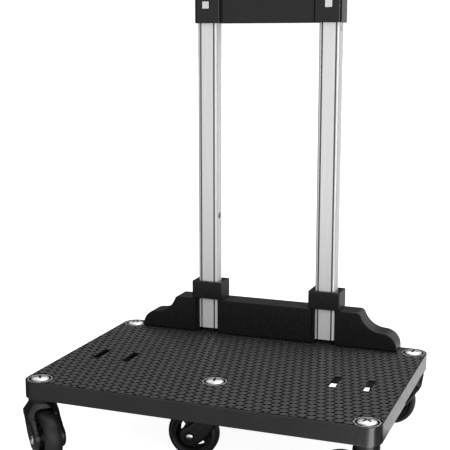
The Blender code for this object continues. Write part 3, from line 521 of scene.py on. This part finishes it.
def bricks(name, spans, low, high):
    """One mesh of separate bricks over (x, y) spans."""
    bm = bmesh.new()
    for (x0, x1), (y0, y1) in spans:
        size = Matrix.Diagonal((x1 - x0, y1 - y0, high - low, 1.0))
        middle = Vector(((x0 + x1) / 2, (y0 + y1) / 2, (low + high) / 2))
        bmesh.ops.create_cube(bm, size=1.0, matrix=Matrix.Translation(middle) @ size)
    return mesh_from(bm, name)


def slot_outline(x, grow=0.0):
    middle = (SLOT_FRONT + SLOT_BACK) / 2
    return rounded_rect(SLOT_WIDTH + grow, SLOT_BACK - SLOT_FRONT + grow, 0.0006, (x, middle), 3)


def strap_slots(grow=0.0):
    """Cutters for the strap slots, straight through the deck."""
    low, high = DECK_TOP - PLATE - 0.03, DECK_TOP + PAST
    return [prism(f"slot_{k}", slot_outline(x, grow), low, high) for k, x in enumerate(SLOT_XS)]


def deck_outline(margins=(0.0, 0.0)):
    """The deck's outline, moved in by one margin at the sides and another at front and back."""
    x, y = margins
    return rounded_rect(DECK_WIDTH - 2 * x, DECK_DEPTH - 2 * y, CORNER_RADIUS - (x + y) / 2, steps=12)


def make_deck():
    """The board: ribs and bosses under a plate, and a shallow tray in it for the grip pattern."""
    body = prism("deck", deck_outline(), DECK_BOTTOM, DECK_TOP, edge=0.0010, low_edge=0.0008)
    below, above = DECK_BOTTOM - PAST, DECK_TOP + PAST
    tray = prism("tray", deck_outline(TRAY_INSET), DECK_TOP - TRAY_DEPTH, above)
    pockets = bricks("pockets", pocket_spans(), below, DECK_TOP - PLATE)
    bosses = stem_discs("boss", BOSS_RADIUS, DECK_BOTTOM + 0.0002, DECK_TOP - 0.002)
    hollow = combined(combined(body, [pockets]), [], bosses)
    cuts = stem_discs("recess", RECESS_RADIUS, DECK_TOP - RECESS_DEPTH, above)
    cuts += stem_discs("hole", BOLT_BORE, below, above, sides=24)
    low_x, high_x = DECK_WIDTH / 2 - RELIEF_DEPTH, DECK_WIDTH / 2 + PAST
    spans = [(x_span, (RELIEF_FRONT, RELIEF_BACK)) for x_span in ((low_x, high_x), (-high_x, -low_x))]
    cuts += [tray, *strap_slots(), bricks("reliefs", spans, below, DECK_BOTTOM + RELIEF_HEIGHT)]
    piece("deck_shell", combined(hollow, cuts), DECK_PLASTIC, "deck", "deck_board")


def pit_cell(bm, corners):
    """One triangle between three pads: its edges dip in the middle, and a round pit is sunk in it."""
    centre = sum(corners, Vector((0, 0))) / 3
    edge = []
    for one, two in zip(corners, corners[1:] + corners[:1]):
        edge += [(one.lerp(two, share), DECK_TOP - drop) for share, drop in PAD_DROPS.items()]
    rings = [[bm.verts.new((*spot, level)) for spot, level in edge]]
    toward = [(spot - centre).normalized() for spot, _ in edge]
    for radius, drop in (PIT_LIP, PIT_FLOOR):
        rings.append([bm.verts.new((*(centre + way * radius), DECK_TOP - drop)) for way in toward])
    for outer, inner in zip(rings, rings[1:]):
        for k in range(len(outer)):
            after = (k + 1) % len(outer)
            bm.faces.new((outer[k], outer[after], inner[after], inner[k]))
    bm.faces.new(rings[-1])


def pattern_slab():
    """A slab whose top is the grip pattern, a little larger than the deck."""
    half_x, half_y = DECK_WIDTH / 2 + PAST, DECK_DEPTH / 2 + PAST
    turns = (radians(PAD_TURN), radians(PAD_TURN + 60))
    one, two = [Vector((cos(turn), sin(turn))) * PAD_PITCH for turn in turns]
    bm = bmesh.new()
    reach = int((half_x + half_y) / PAD_PITCH * 1.3)
    for i in range(-reach, reach):
        for j in range(-reach, reach):
            here = one * i + two * j
            for corners in ([here, here + one, here + two], [here + one, here + one + two, here + two]):
                if abs(corners[0].x) < half_x + PAD_PITCH and abs(corners[0].y) < half_y + PAD_PITCH:
                    pit_cell(bm, corners)
    bmesh.ops.remove_doubles(bm, verts=bm.verts, dist=1e-6)
    rim = [e for e in bm.edges if len(e.link_faces) == 1]
    walls = bmesh.ops.extrude_edge_only(bm, edges=rim)["geom"]
    for vert in (g for g in walls if isinstance(g, bmesh.types.BMVert)):
        vert.co.z = DECK_TOP - 0.004
    bmesh.ops.holes_fill(bm, edges=[e for e in bm.edges if len(e.link_faces) == 1], sides=0)
    return mesh_from(bm, "pattern")


def make_pattern():
    """The pattern cut to the tray, clear of the bolt recesses and the strap slots."""
    far, low, high = 0.5, DECK_TOP - 0.02, DECK_TOP + 0.02
    kept = prism("kept", deck_outline(GRIP_INSET), low - 0.01, high + 0.01)
    outside = combined(brick("outside", (-far, -far, low), (far, far, high)), [kept])
    under = brick("under", (-far, -far, low), (far, far, DECK_TOP - TRAY_DEPTH + 0.0001))
    recesses = stem_discs("recess", RECESS_RADIUS + 0.0001, low + 0.01, high - 0.01)
    made = combined(pattern_slab(), [outside, under, *recesses, *strap_slots(0.0002)])
    piece("deck_grip_surface", made, DECK_PATTERN, "deck", smooth=20)


# -------------------------------- stem bolts


def make_recess_ring(name, x, y):
    """The moulded ring in a bolt recess, tied to the recess wall by short bars."""
    floor = DECK_TOP - RECESS_DEPTH
    shoulder, top = floor + RING_HEIGHT, floor + 0.0021
    half = [(0.0126, floor), (0.0126, shoulder), (0.0128, top)]
    profile = [*half, (0.0132, top), (0.0134, shoulder), (0.0134, floor)]
    bar_plan = rounded_rect(*RING_BAR, 0.0003, (0.0138, 0), 2)
    bars = []
    for k in range(RING_BARS):
        bar = prism(f"bar_{k}", bar_plan, floor, shoulder, edge=0.0002)
        bar.transform(Matrix.Rotation(radians(360 / RING_BARS * k + FIRST_BAR), 4, "Z"))
        bars.append(bar)
    made = combined(turned(name, profile, closed=True), [], bars)
    piece(name, made, RING_PLASTIC, "deck", place=Matrix.Translation((x, y, 0.00002)))


def make_bolt(name, x, y, turn):
    """A low domed head with a cross recess, its shank, and the peened end under the fork."""
    seat, top = BOLT_SEAT, BOLT_SEAT + 0.0060
    foot = DECK_BOTTOM - CROWN_BOTTOM - GAP
    head = [(0.0, seat + 0.0042), (0.0030, seat + 0.0041), (0.0060, seat + 0.0037), (0.0082, seat + 0.0031)]
    head += [(0.0096, seat + 0.0023), (0.0104, seat + 0.0013), (0.0106, seat + 0.0003), (0.0104, seat)]
    shank = [(BOLT_RADIUS, seat), (BOLT_RADIUS, foot), (0.0062, foot), (0.0058, foot - 0.0012)]
    mesh = turned(name, head + shank + [(0.0044, foot - 0.0021), (0.0, foot - 0.0024)])
    cross = []
    arm_plan = rounded_rect(CROSS_LENGTH, CROSS_WIDTH, 0.0008, steps=3)
    for k in range(2):
        arm = prism("arm", arm_plan, seat + 0.0019, top)
        arm.transform(Matrix.Rotation(radians(turn + 90 * k), 4, "Z"))
        cross.append(arm)
    slope = [(0.0, seat + 0.0012), (0.0016, seat + 0.0018), (0.0024, seat + 0.0030), (0.0026, top)]
    made = combined(mesh, [*cross, turned("socket", [*slope, (0.0, top)], steps=24)])
    piece(
        name + "_stem_bolt", made, BOLT_STEEL, "deck", name + "_caster_bolt",
        place=Matrix.Translation((x, y, 0)),
    )


# -------------------------------- casters


def make_cup(name, x, y):
    """The bearing cup, with a groove round it."""
    top, bottom = DECK_BOTTOM - GAP, DECK_BOTTOM - GAP - CUP_HEIGHT
    radius, groove = CUP_RADIUS, CUP_RADIUS - 0.0005
    upper = [(BOLT_BORE, top), (radius - 0.0006, top), (radius, top - 0.0006), (radius, top - 0.0018)]
    lower = [(radius, top - 0.0030), (radius, bottom + 0.0005), (groove, bottom), (BOLT_BORE, bottom)]
    mesh = turned(name, [*upper, (groove, top - 0.0022), (groove, top - 0.0026), *lower], closed=True)
    piece(
        name + "_cup", mesh, CASTER_PLASTIC, "deck", name + "_bearing_cup",
        place=Matrix.Translation((x, y, 0)),
    )


def leg_outline():
    """One fork leg from the side: trail to the right, height up, down to the round end at the axle."""
    boss = arc((TRAIL, -AXLE_BELOW), LEG_BOSS, 235, 435, 24)
    back = [(-0.0115, -0.0165), (-0.0098, -0.0200), (-0.0030, -0.0300), (0.0034, -0.0393)]
    return [(0.0115, -0.0165), *back, (0.0105, -0.0460), *boss, (0.0227, -0.0258)]


def fork_web_outline():
    """The wall behind the wheel that joins the legs under the crown, from the side."""
    outside = [(-0.0113, -0.0105), (-0.0113, -0.0165), (-0.0096, -0.0200), (-0.0050, -0.0268)]
    return [*outside, (-0.0032, -0.0256), (-0.0075, -0.0192), (-0.0090, -0.0160), (-0.0090, -0.0105)]


def fork_hull():
    """The crown, its bell and its shoulders, before the wheel's slot is cut."""
    crown_top = -GAP - CUP_HEIGHT - GAP
    bm = bmesh.new()
    bell_x, bell_y = BELL_HALF
    for z, half_x, half_y in (
        (crown_top, CUP_RADIUS - 0.0007, CUP_RADIUS - 0.0007),
        (crown_top - 0.0007, CUP_RADIUS, CUP_RADIUS),
        (-0.0075, CUP_RADIUS, CUP_RADIUS),
        (-0.0120, bell_x - 0.0003, bell_y - 0.0003),
        (-0.0128, bell_x, bell_y),
        (-0.0140, bell_x - 0.0004, bell_y - 0.0002),
    ):
        for x, y in arc((0, 0), 1, 0, 355, 71):
            bm.verts.new((x * half_x, y * half_y, z))
    for width, middle, z in ((0.0230, 0.0, -0.0165), (0.0238, 0.0031, -0.0215)):
        for x, y in rounded_rect(width, 2 * LEG_OUTER, 0.0016, (middle, 0), 4):
            bm.verts.new((x, y, z))
    bmesh.ops.convex_hull(bm, input=bm.verts)
    bmesh.ops.dissolve_limit(bm, angle_limit=radians(1), verts=bm.verts, edges=bm.edges)
    return mesh_from(bm, "fork")


def slot_section():
    """The wheel's slot from behind: straight sides under a round arch."""
    top, corner = -CROWN_BOTTOM, 0.0062
    left = arc((-LEG_INNER + corner, top - corner), corner, 180, 90, 6)
    right = arc((LEG_INNER - corner, top - corner), corner, 90, 0, 6)
    return [(-LEG_INNER, -0.06), *left, *right, (LEG_INNER, -0.06)]


def leg_grooves():
    """Two narrow grooves that run up a leg's outer face from the axle to the crown."""
    axle, along, across = Vector((TRAIL, -AXLE_BELOW)), Vector((-0.72, 0.694)), Vector((0.694, 0.72))
    grooves = []
    for side in (-1, 1):
        corners = ((0.0045, 0.0036), (0.0045, 0.0046), (0.0330, 0.0040), (0.0330, 0.0030))
        grooves.append([tuple(axle + along * reach + across * (side * off)) for reach, off in corners])
    return grooves


def make_fork(name, place):
    """A round crown that flares into a bell and spreads into two legs, with a slot for the wheel."""
    solids, channels = [], []
    for side in (-1, 1):
        low, high = sorted((side * LEG_INNER, side * LEG_OUTER))
        low_edge, high_edge = (0.0006, 0.0030) if side > 0 else (0.0030, 0.0006)
        solids.append(prism("leg", leg_outline(), low, high, "Y", high_edge, 5, low_edge))
        low, high = sorted((side * (LEG_OUTER - LEG_GROOVE), side * (LEG_OUTER + 0.004)))
        channels += [prism("groove", outline, low, high, "Y") for outline in leg_grooves()]
        channels.append(disc("rivet_seat", RIVET_SEAT, low, high, (TRAIL, -AXLE_BELOW), "Y", 40))
    reach = LEG_INNER + 0.001
    solids.append(prism("web", fork_web_outline(), -reach, reach, "Y"))
    slot = prism("slot", slot_section(), -0.04, 0.07, "X")
    bore = disc("bore", BOLT_BORE, -0.02, 0.0, sides=24)
    axle_hole = disc("axle_hole", AXLE_RADIUS + GAP, -0.03, 0.03, (TRAIL, -AXLE_BELOW), "Y", 24)
    made = combined(combined(fork_hull(), [slot, bore]), [axle_hole, *channels], solids)
    piece(
        name + "_swivel_fork", made, CASTER_PLASTIC, name + "_fork", name + "_fork",
        place=place, smooth=32,
    )


def make_axle(name, place):
    """A rivet with a low faceted dome outside each leg."""
    face = LEG_OUTER - LEG_GROOVE + GAP / 2
    dome = [(0.0, face + 0.0034), (0.0020, face + 0.0031), (0.0036, face + 0.0024)]
    dome += [(0.0047, face + 0.0014), (RIVET_RADIUS, face)]
    mesh = turned(name, mirrored([*dome, (AXLE_RADIUS, face)]), "Y", 32)
    piece(
        name + "_axle_rivet", mesh, BRIGHT_STEEL, name + "_fork", name + "_axle",
        place=place,
    )


def make_wheel(name, place):
    """Hub, dished web and rim, with five windows between the spokes."""
    hub = [(AXLE_RADIUS + GAP, 0.0096), (0.0056, 0.0096), (0.0066, 0.0088)]
    web = [(0.0070, 0.0050), (0.0080, 0.0036), (0.0100, 0.0031), (0.0170, 0.0030), (0.0175, 0.0036)]
    rim = [(0.0177, 0.0056), (0.0180, 0.0082), (0.0185, 0.0087), (0.0194, 0.0087), (0.0198, 0.0082)]
    section = [*hub, *web, *rim, (0.0207, 0.0082), (RIM_RADIUS, 0.0084)]
    mesh = turned(name, mirrored(section), "Y", 56, closed=True)
    windows = []
    (inner, inner_half), (outer, outer_half) = WINDOW_INNER, WINDOW_OUTER
    for k in range(WINDOWS):
        middle = FIRST_WINDOW + 360 / WINDOWS * k
        outline = arc((0, 0), outer, middle - outer_half, middle + outer_half, 8)
        outline += arc((0, 0), inner, middle + inner_half, middle - inner_half, 6)
        windows.append(prism(f"window_{k}", outline, -0.006, 0.006, "Y"))
    made = combined(mesh, windows)
    piece(
        name + "_hub", made, CASTER_PLASTIC, name + "_wheel", name + "_wheel",
        place=place, smooth=35,
    )


def make_tyre(name, place):
    """A ring of rubber with a low flange at the rim and a round tread."""
    inner = RIM_RADIUS + GAP / 2
    side = [(inner, 0.0078), (inner + 0.0003, 0.0086), (0.0225, 0.0090), (0.0231, TYRE_HALF)]
    shoulder = [(0.0245, TYRE_HALF), (0.0258, 0.0090), (0.0269, 0.0080), (0.0278, 0.0066)]
    tread = [(0.0285, 0.0048), (0.0289, 0.0028), (WHEEL_RADIUS, 0.0008)]
    mesh = turned(name, mirrored([*side, *shoulder, *tread]), "Y", 72, closed=True)
    piece(
        name + "_tread", mesh, TYRE_RUBBER, name + "_wheel", name + "_tyre",
        place=place,
    )


def make_casters():
    for k, (name, (x, y, heading)) in enumerate(CASTERS.items()):
        place = Matrix.Translation((x, y, DECK_BOTTOM)) @ Matrix.Rotation(radians(heading), 4, "Z")
        make_recess_ring(name + "_recess_ring", x, y)
        make_bolt(name, x, y, FIRST_CROSS + CROSS_STEP * k)
        make_cup(name, x, y)
        make_fork(name, place)
        at_axle = place @ Matrix.Translation((TRAIL, 0, -AXLE_BELOW))
        make_axle(name, at_axle)
        make_wheel(name, at_axle)
        make_tyre(name, at_axle)


# -------------------------------- panel, tubes and bracket


def panel_outline():
    end = arc((0.1470, DECK_TOP + 0.0040), 0.0190, 0, 90, 14)
    hollow = arc((0.1480, DECK_TOP + 0.0510), 0.0280, 262, 202, 14)
    brow = arc((0.1160, DECK_TOP + 0.0393), 0.0060, 20, 90, 8)
    right = [(0.1660, PANEL_BOTTOM), *end, *hollow, *brow]
    return right + [(-x, z) for x, z in reversed(right)]


def toe_outline():
    swing, depth = FOLD_Z - PANEL_BOTTOM, FOLD_Y - PANEL_FRONT
    front_angle = 180 + degrees(asin((swing**2 - depth**2) ** 0.5 / swing))
    toe = arc((FOLD_Y, FOLD_Z), swing, front_angle, 270, 6)
    low, front = PANEL_BOTTOM - PAST, PANEL_FRONT - PAST
    return [*toe, (FOLD_Y, low), (front, low), (front, toe[0][1])]


def hinge_pocket_outline():
    radius, reach = KNUCKLE_RADIUS + 0.0005, ARM_HALF + 0.0006
    lean = degrees(asin(reach / radius))
    low, back = PANEL_BOTTOM - PAST, PANEL_BACK + PAST
    front = arc((FOLD_Y, FOLD_Z), radius, lean, 270 - lean, 12)
    return [*front, (FOLD_Y - reach, low), (back, low), (back, FOLD_Z + reach)]


def make_panel():
    mesh = prism("panel", panel_outline(), PANEL_FRONT, PANEL_BACK, "Y", edge=0.0010)
    below, above, front = PANEL_BOTTOM - PAST, PANEL_TOP + PAST, PANEL_FRONT - PAST
    cuts = [prism("toe", toe_outline(), -0.2, 0.2, "X"), brick("lever_pocket", *LEVER_POCKET)]
    half, back = TUBE_WIDTH / 2 + GAP, TUBE_Y + TUBE_DEPTH / 2 + GAP
    for side in SIDES.values():
        x = side * TUBE_X
        cuts.append(brick("mouth", (x - MOUTH_HALF, front, below), (x + MOUTH_HALF, MOUTH_BACK, above)))
        cuts.append(brick("channel", (x - half, front, below), (x + half, back, above)))
        x = side * HINGE_X
        low, high = x - HINGE_WIDTH / 2 - 0.0005, x + HINGE_WIDTH / 2 + 0.0005
        cuts.append(prism("pocket", hinge_pocket_outline(), low, high, "X"))
        end = HINGE_PIN_HALF + 0.0005
        cuts.append(disc("bore", HINGE_PIN_RADIUS + GAP, x - end, x + end, (FOLD_Y, FOLD_Z), "X", 24))
    end = LEVER_PIN_HALF + 0.0005
    cuts.append(disc("lever_bore", 0.0018, -end, end, (LEVER_Y, LEVER_Z), "X", 16))
    piece("panel", combined(mesh, cuts), PANEL_PLASTIC, "handle_frame", "back_panel")


def outer_tube_outline(x):
    """A rounded rectangle with a groove in the front face near each corner."""
    outline = rounded_rect(TUBE_WIDTH, TUBE_DEPTH, TUBE_CORNER, (x, TUBE_Y), 6)
    front = TUBE_Y - TUBE_DEPTH / 2
    grooves = []
    for side in (-1, 1):
        middle = x + side * (TUBE_WIDTH / 2 - GROOVE_INSET)
        grooves += [
            (middle - GROOVE_HALF, front),
            (middle - GROOVE_HALF + 0.0001, front + GROOVE_DEPTH),
            (middle + GROOVE_HALF - 0.0001, front + GROOVE_DEPTH),
            (middle + GROOVE_HALF, front),
        ]
    front_at = 3 * len(outline) // 4
    return outline[:front_at] + grooves + outline[front_at:]


def make_outer_tubes():
    for name, side in SIDES.items():
        x = side * TUBE_X
        mesh = prism("tube", outer_tube_outline(x), TUBE_BOTTOM, TUBE_TOP)
        width, depth = TUBE_WIDTH - 2 * TUBE_WALL, TUBE_DEPTH - 2 * TUBE_WALL
        bore = rounded_rect(width, depth, TUBE_WALL, (x, TUBE_Y))
        bore = prism("bore", bore, TUBE_BOTTOM - PAST, TUBE_TOP + PAST)
        wall, spot = x + TUBE_WIDTH / 2, (TUBE_Y, LOCK_HOLE_Z[name])
        hole = disc("hole", LOCK_HOLE, wall - PAST, wall + PAST, spot, "X", 32)
        piece(
            f"tube_{name}", combined(mesh, [bore, hole]), TUBE_ALUMINIUM[name],
            "handle_frame", f"outer_tube_{name}", smooth=30,
        )


def tube_hole(x, size, low, high):
    """A cutter for a hole that a tube of this width, depth and corner radius passes through."""
    width, depth, radius = size
    outline = rounded_rect(width + 2 * GAP, depth + 2 * GAP, radius, (x, TUBE_Y))
    return prism("tube_hole", outline, low, high)


def make_collars():
    middle_y = (COLLAR_FRONT + COLLAR_BACK) / 2
    depth = COLLAR_BACK - COLLAR_FRONT
    for name, side in SIDES.items():
        x = side * TUBE_X
        outer = rounded_rect(COLLAR_WIDTH, depth, 0.0016, (x, middle_y), 4)
        mesh = prism("collar", outer, COLLAR_BOTTOM, COLLAR_TOP, edge=0.0009)
        hole = tube_hole(x, OUTER_TUBE, COLLAR_BOTTOM - PAST, COLLAR_TOP + PAST)
        piece(
            f"collar_{name}", combined(mesh, [hole]), FITTING_PLASTIC,
            "handle_frame", f"tube_collar_{name}",
        )


def bracket_plan():
    """The bracket from above, with rounded corners and steps down to the web."""
    front, web = COLLAR_FRONT, COLLAR_FRONT + WEB_INSET
    radius = 0.0040
    x, back = BRACKET_HALF, COLLAR_BACK
    half = [
        *arc((x - radius, back - radius), radius, 90, 0, 5),
        *arc((x - radius, front + radius), radius, 0, -90, 5),
        *arc((WEB_HALF + 0.0030, front + 0.0026), 0.0026, -90, -170, 7),
        (WEB_HALF, web - 0.0006),
        (WEB_HALF - 0.0006, web),
    ]
    return half + [(-u, v) for u, v in reversed(half)]


def make_bracket():
    mesh = prism("bracket", bracket_plan(), BRACKET_BOTTOM, BRACKET_TOP, edge=0.0010)
    cuts = []
    for side in SIDES.values():
        x = side * TUBE_X
        cuts.append(tube_hole(x, OUTER_TUBE, BRACKET_BOTTOM - PAST, TUBE_TOP + GAP))
        cuts.append(tube_hole(x, INNER_TUBE, TUBE_TOP - PAST, BRACKET_TOP + PAST))
        half = PLUG_HALF + GAP
        low = (x - half, COLLAR_FRONT - PAST, PLUG_Z - half)
        cuts.append(brick("seat", low, (x + half, COLLAR_FRONT + PLUG_DEPTH, PLUG_Z + half)))
    mesh = combined(mesh, cuts)
    piece("bracket", mesh, FITTING_PLASTIC, "handle_frame", "handle_bracket")
    for name, side in SIDES.items():
        make_plug(name, side * TUBE_X)


def make_plug(name, x):
    """A square plug with a sunk square panel in its face."""
    outline = rounded_rect(2 * PLUG_HALF, 2 * PLUG_HALF, 0.0006, (x, PLUG_Z), 3)
    front = COLLAR_FRONT - 0.0006
    mesh = prism("plug", outline, front, COLLAR_FRONT + PLUG_DEPTH - GAP, "Y", edge=0.0004, steps=2)
    panel = rounded_rect(0.0052, 0.0052, 0.0004, (x, PLUG_Z), 2)
    made = combined(mesh, [prism("panel", panel, front - 0.002, front + 0.0005, "Y")])
    piece(f"plug_{name}", made, SQUARE_PLUG, "handle_frame", f"bracket_plug_{name}")


# -------------------------------- grip


def make_grip():
    """A body and a cover with rounded ends, hollow for the button's bar and its spring."""
    plan = rounded_rect(2 * GRIP_HALF, GRIP_DEPTH, 0.0165, (0, TUBE_Y), 12)
    body = prism("grip", plan, GRIP_BOTTOM, GRIP_SPLIT - GAP / 2, low_edge=0.0060, edge=0.0004, steps=5)
    cover = prism("cover", plan, GRIP_SPLIT + GAP / 2, GRIP_TOP, low_edge=0.0004, edge=0.0070, steps=5)
    x, y = HOLLOW_HALF
    trough = brick("trough", (-x, TUBE_Y - y, GRIP_BOTTOM + GRIP_FLOOR), (x, TUBE_Y + y, GRIP_SPLIT + PAST))
    roof = brick("roof", (-x, TUBE_Y - y, GRIP_SPLIT - PAST), (x, TUBE_Y + y, HOLLOW_TOP))
    width, depth = BUTTON_SIZE
    mouth = rounded_rect(width + 2 * GAP, depth + 2 * GAP, 0.0060, (0, TUBE_Y), 8)
    mouth = prism("mouth", mouth, GRIP_SPLIT, GRIP_TOP + PAST)
    low = GRIP_BOTTOM - PAST
    sockets = [tube_hole(side * TUBE_X, INNER_TUBE, low, GRIP_SPLIT) for side in SIDES.values()]
    for name, mesh, node in (
        ("grip_lower", combined(body, [trough, *sockets]), "grip_body"),
        ("grip_upper", combined(cover, [roof, mouth]), "grip_cover"),
    ):
        piece(name, mesh, GRIP_RUBBER, "telescope", node)


def make_button():
    """A pad with fine grooves across it, on a bar that reaches across both tubes."""
    plan = rounded_rect(*BUTTON_SIZE, 0.0058, (0, TUBE_Y), 8)
    pad = prism("button", plan, BAR_BOTTOM + 0.0001, BUTTON_TOP, low_edge=0.0, edge=0.0016, steps=4)
    x, y = BAR_HALF
    bar = brick("bar", (-x, TUBE_Y - y, BAR_BOTTOM), (x, TUBE_Y + y, BAR_TOP))
    half_x, half_y, low, high = 0.0004, 0.0036, BUTTON_TOP - 0.0004, BUTTON_TOP + 0.001
    lines = []
    for k in range(-4, 5):
        u = 0.003 * k
        lines.append(brick("line", (u - half_x, TUBE_Y - half_y, low), (u + half_x, TUBE_Y + half_y, high)))
    made = combined(pad, lines, [bar])
    piece("button", made, BUTTON_PLASTIC, "button", "grip_button")


# -------------------------------- CAD nodes that stay


KEPT = {
    "inner_tube_left": ALUMINIUM,
    "inner_tube_right": ALUMINIUM,
    "tube_foot_left": FITTING_PLASTIC,
    "tube_foot_right": FITTING_PLASTIC,
    "fold_release_lever": FITTING_PLASTIC,
    "hinge_bracket_left": DARK_STEEL,
    "hinge_bracket_right": DARK_STEEL,
    "hinge_screw_left": DARK_STEEL,
    "hinge_screw_right": DARK_STEEL,
}
PAIRED_STEEL = [f"{part}_{side}" for part in ("hinge_pin", "lock_pin", "pull_rod") for side in SIDES]
KEPT.update(dict.fromkeys([*PAIRED_STEEL, "lever_pin", "lever_spring", "button_spring"], BRIGHT_STEEL))


def dress_kept_nodes():
    for name, material in KEPT.items():
        mesh = nodes[name].data
        mesh.materials.clear()
        mesh.materials.append(material)


# -------------------------------- stage


# Brightness of the studio by direction, in degrees from the front towards the right
FAR_STUDIO = (
    (-180, 0.04), (-46, 0.04), (-32, 0.85), (22, 0.85), (28, 1.60), (42, 1.60),
    (47, 0.03), (136, 0.03), (143, 0.66), (172, 0.66), (180, 0.04),
)
NEAR_STUDIO = (
    (-180, 0.04), (-75, 0.04), (-42, 0.50), (37, 0.50), (46, 6.0), (58, 6.0),
    (63, 0.04), (104, 0.04), (110, 1.10), (150, 1.10), (165, 0.04),
)
STUDIO_MOST = 6.0
# On the floor: how far out the near light gives way to the far one, and the cart's own dark oval
NEAR_REACH, FAR_REACH = 0.5, 1.1
SHADE_HALF, SHADE_SOFT = (0.215, 0.155), 1.25
# In the sky: where the high light behind the cart begins and is full, by height and by depth
SKY_FROM, SKY_FULL, SKY_LEVEL = 0.38, 0.62, 1.1
SKY_FRONT, SKY_BACK, BACKDROP = -0.10, 0.20, 1.05
CAMERA_LENS, SENSOR_WIDTH, CAMERA_PLACE = 81.12, 36.0, (0.39035, -1.05107, 0.45421)
CAMERA_DIP, CAMERA_TURN = 0.17738, 0.36489


def studio_light(made, table):
    """The studio's brightness in a place's direction round the vertical, as a share of STUDIO_MOST."""
    turn = made.math("ARCTAN2", made.axis("X"), made.math("MULTIPLY", made.axis("Y"), -1.0))
    colour = made.node("ShaderNodeValToRGB", {"Fac": made.spread(turn, -pi, pi)}, "Color")
    ramp = colour.node.color_ramp
    while len(ramp.elements) < len(table):
        ramp.elements.new(0.5)
    for element, (angle, level) in zip(ramp.elements, table):
        element.position = (angle + 180) / 360
        shade = level / STUDIO_MOST
        element.color = (shade, shade, shade, 1)
    return colour


def seen_or_lighting(made, seen, lighting, output):
    """One shader for what is looked at directly, another for what lights the object."""
    looked_at = made.node("ShaderNodeLightPath", {}, "Is Camera Ray")
    mixed = made.node("ShaderNodeMixShader", {0: looked_at, 1: lighting, 2: seen})
    made.link(mixed, made.tree.nodes[output].inputs["Surface"])


def make_floor():
    """A plain white floor that carries the studio's bright and dark sides into low reflections."""
    white = {"Emission Color": (1, 1, 1, 1), "Emission Strength": 0.93}
    made = Surface("pale floor", {"Roughness": 0.85, "Specular IOR Level": 0.1, **white})
    made.colour(made.blend(made.noise(3, 2, 0.5), (0.50, 0.50, 0.50), (0.53, 0.53, 0.53)))
    away = made.spread(made.length(made.place), NEAR_REACH, FAR_REACH)
    near, far = (studio_light(made, table) for table in (NEAR_STUDIO, FAR_STUDIO))
    shade = made.length(made.scaled((1 / SHADE_HALF[0], 1 / SHADE_HALF[1], 0)))
    outside = made.spread(shade, 1.0, SHADE_SOFT, 0.04, 1.0)
    colour = made.blend(outside, (0, 0, 0), made.blend(away, near, far))
    glow = made.node("ShaderNodeEmission", {"Color": colour, "Strength": STUDIO_MOST})
    seen_or_lighting(made, made.shader.outputs[0], glow, "Material Output")
    bm = bmesh.new()
    bmesh.ops.create_grid(bm, x_segments=1, y_segments=1, size=30)
    mesh = mesh_from(bm, "floor")
    mesh.materials.append(made.material)
    floor = helper(mesh)


def make_world():
    """A white backdrop, and for what lights the object a studio with bright and dark sides."""
    world = bpy.data.worlds.new("studio")
    bpy.context.scene.world = world
    world.use_nodes = True
    made = Nodes(world.node_tree, "Generated")
    above = made.spread(made.axis("Z"), SKY_FROM, SKY_FULL)
    behind = made.spread(made.axis("Y"), SKY_FRONT, SKY_BACK)
    level = SKY_LEVEL / STUDIO_MOST
    colour = made.blend(made.math("MULTIPLY", above, behind), studio_light(made, FAR_STUDIO), (level,) * 3)
    lighting = made.node("ShaderNodeBackground", {"Color": colour, "Strength": STUDIO_MOST})
    backdrop = made.node("ShaderNodeBackground", {"Color": (1, 1, 1, 1), "Strength": BACKDROP})
    seen_or_lighting(made, backdrop, lighting, "World Output")


def make_light(name, location, target, size, power):
    data = bpy.data.lights.new(name, "AREA")
    data.shape = "RECTANGLE"
    data.size, data.size_y = size
    data.energy = power
    light = bpy.data.objects.new(name, data)
    bpy.context.scene.collection.objects.link(light)
    light.location = location
    light.rotation_euler = (Vector(target) - Vector(location)).to_track_quat("-Z", "Y").to_euler()


def make_camera():
    data = bpy.data.cameras.new("camera")
    data.lens, data.sensor_width = CAMERA_LENS, SENSOR_WIDTH
    camera = bpy.data.objects.new("camera", data)
    bpy.context.scene.collection.objects.link(camera)
    camera.location = CAMERA_PLACE
    camera.rotation_euler = (pi / 2 - CAMERA_DIP, 0.0, CAMERA_TURN)
    bpy.context.scene.camera = camera


make_camera()
make_world()
make_floor()
make_light("soft top light", (0.5, 0.6, 1.9), (0, 0, 0.1), (1.4, 1.4), 16)
make_light("right strip light", (1.35, -1.05, 0.55), (0.1, 0.0, 0.2), (0.40, 1.5), 9)
bpy.context.scene.view_settings.view_transform = "Standard"

make_deck()
make_pattern()
make_casters()
make_panel()
make_outer_tubes()
make_collars()
make_bracket()
make_grip()
make_button()
dress_kept_nodes()
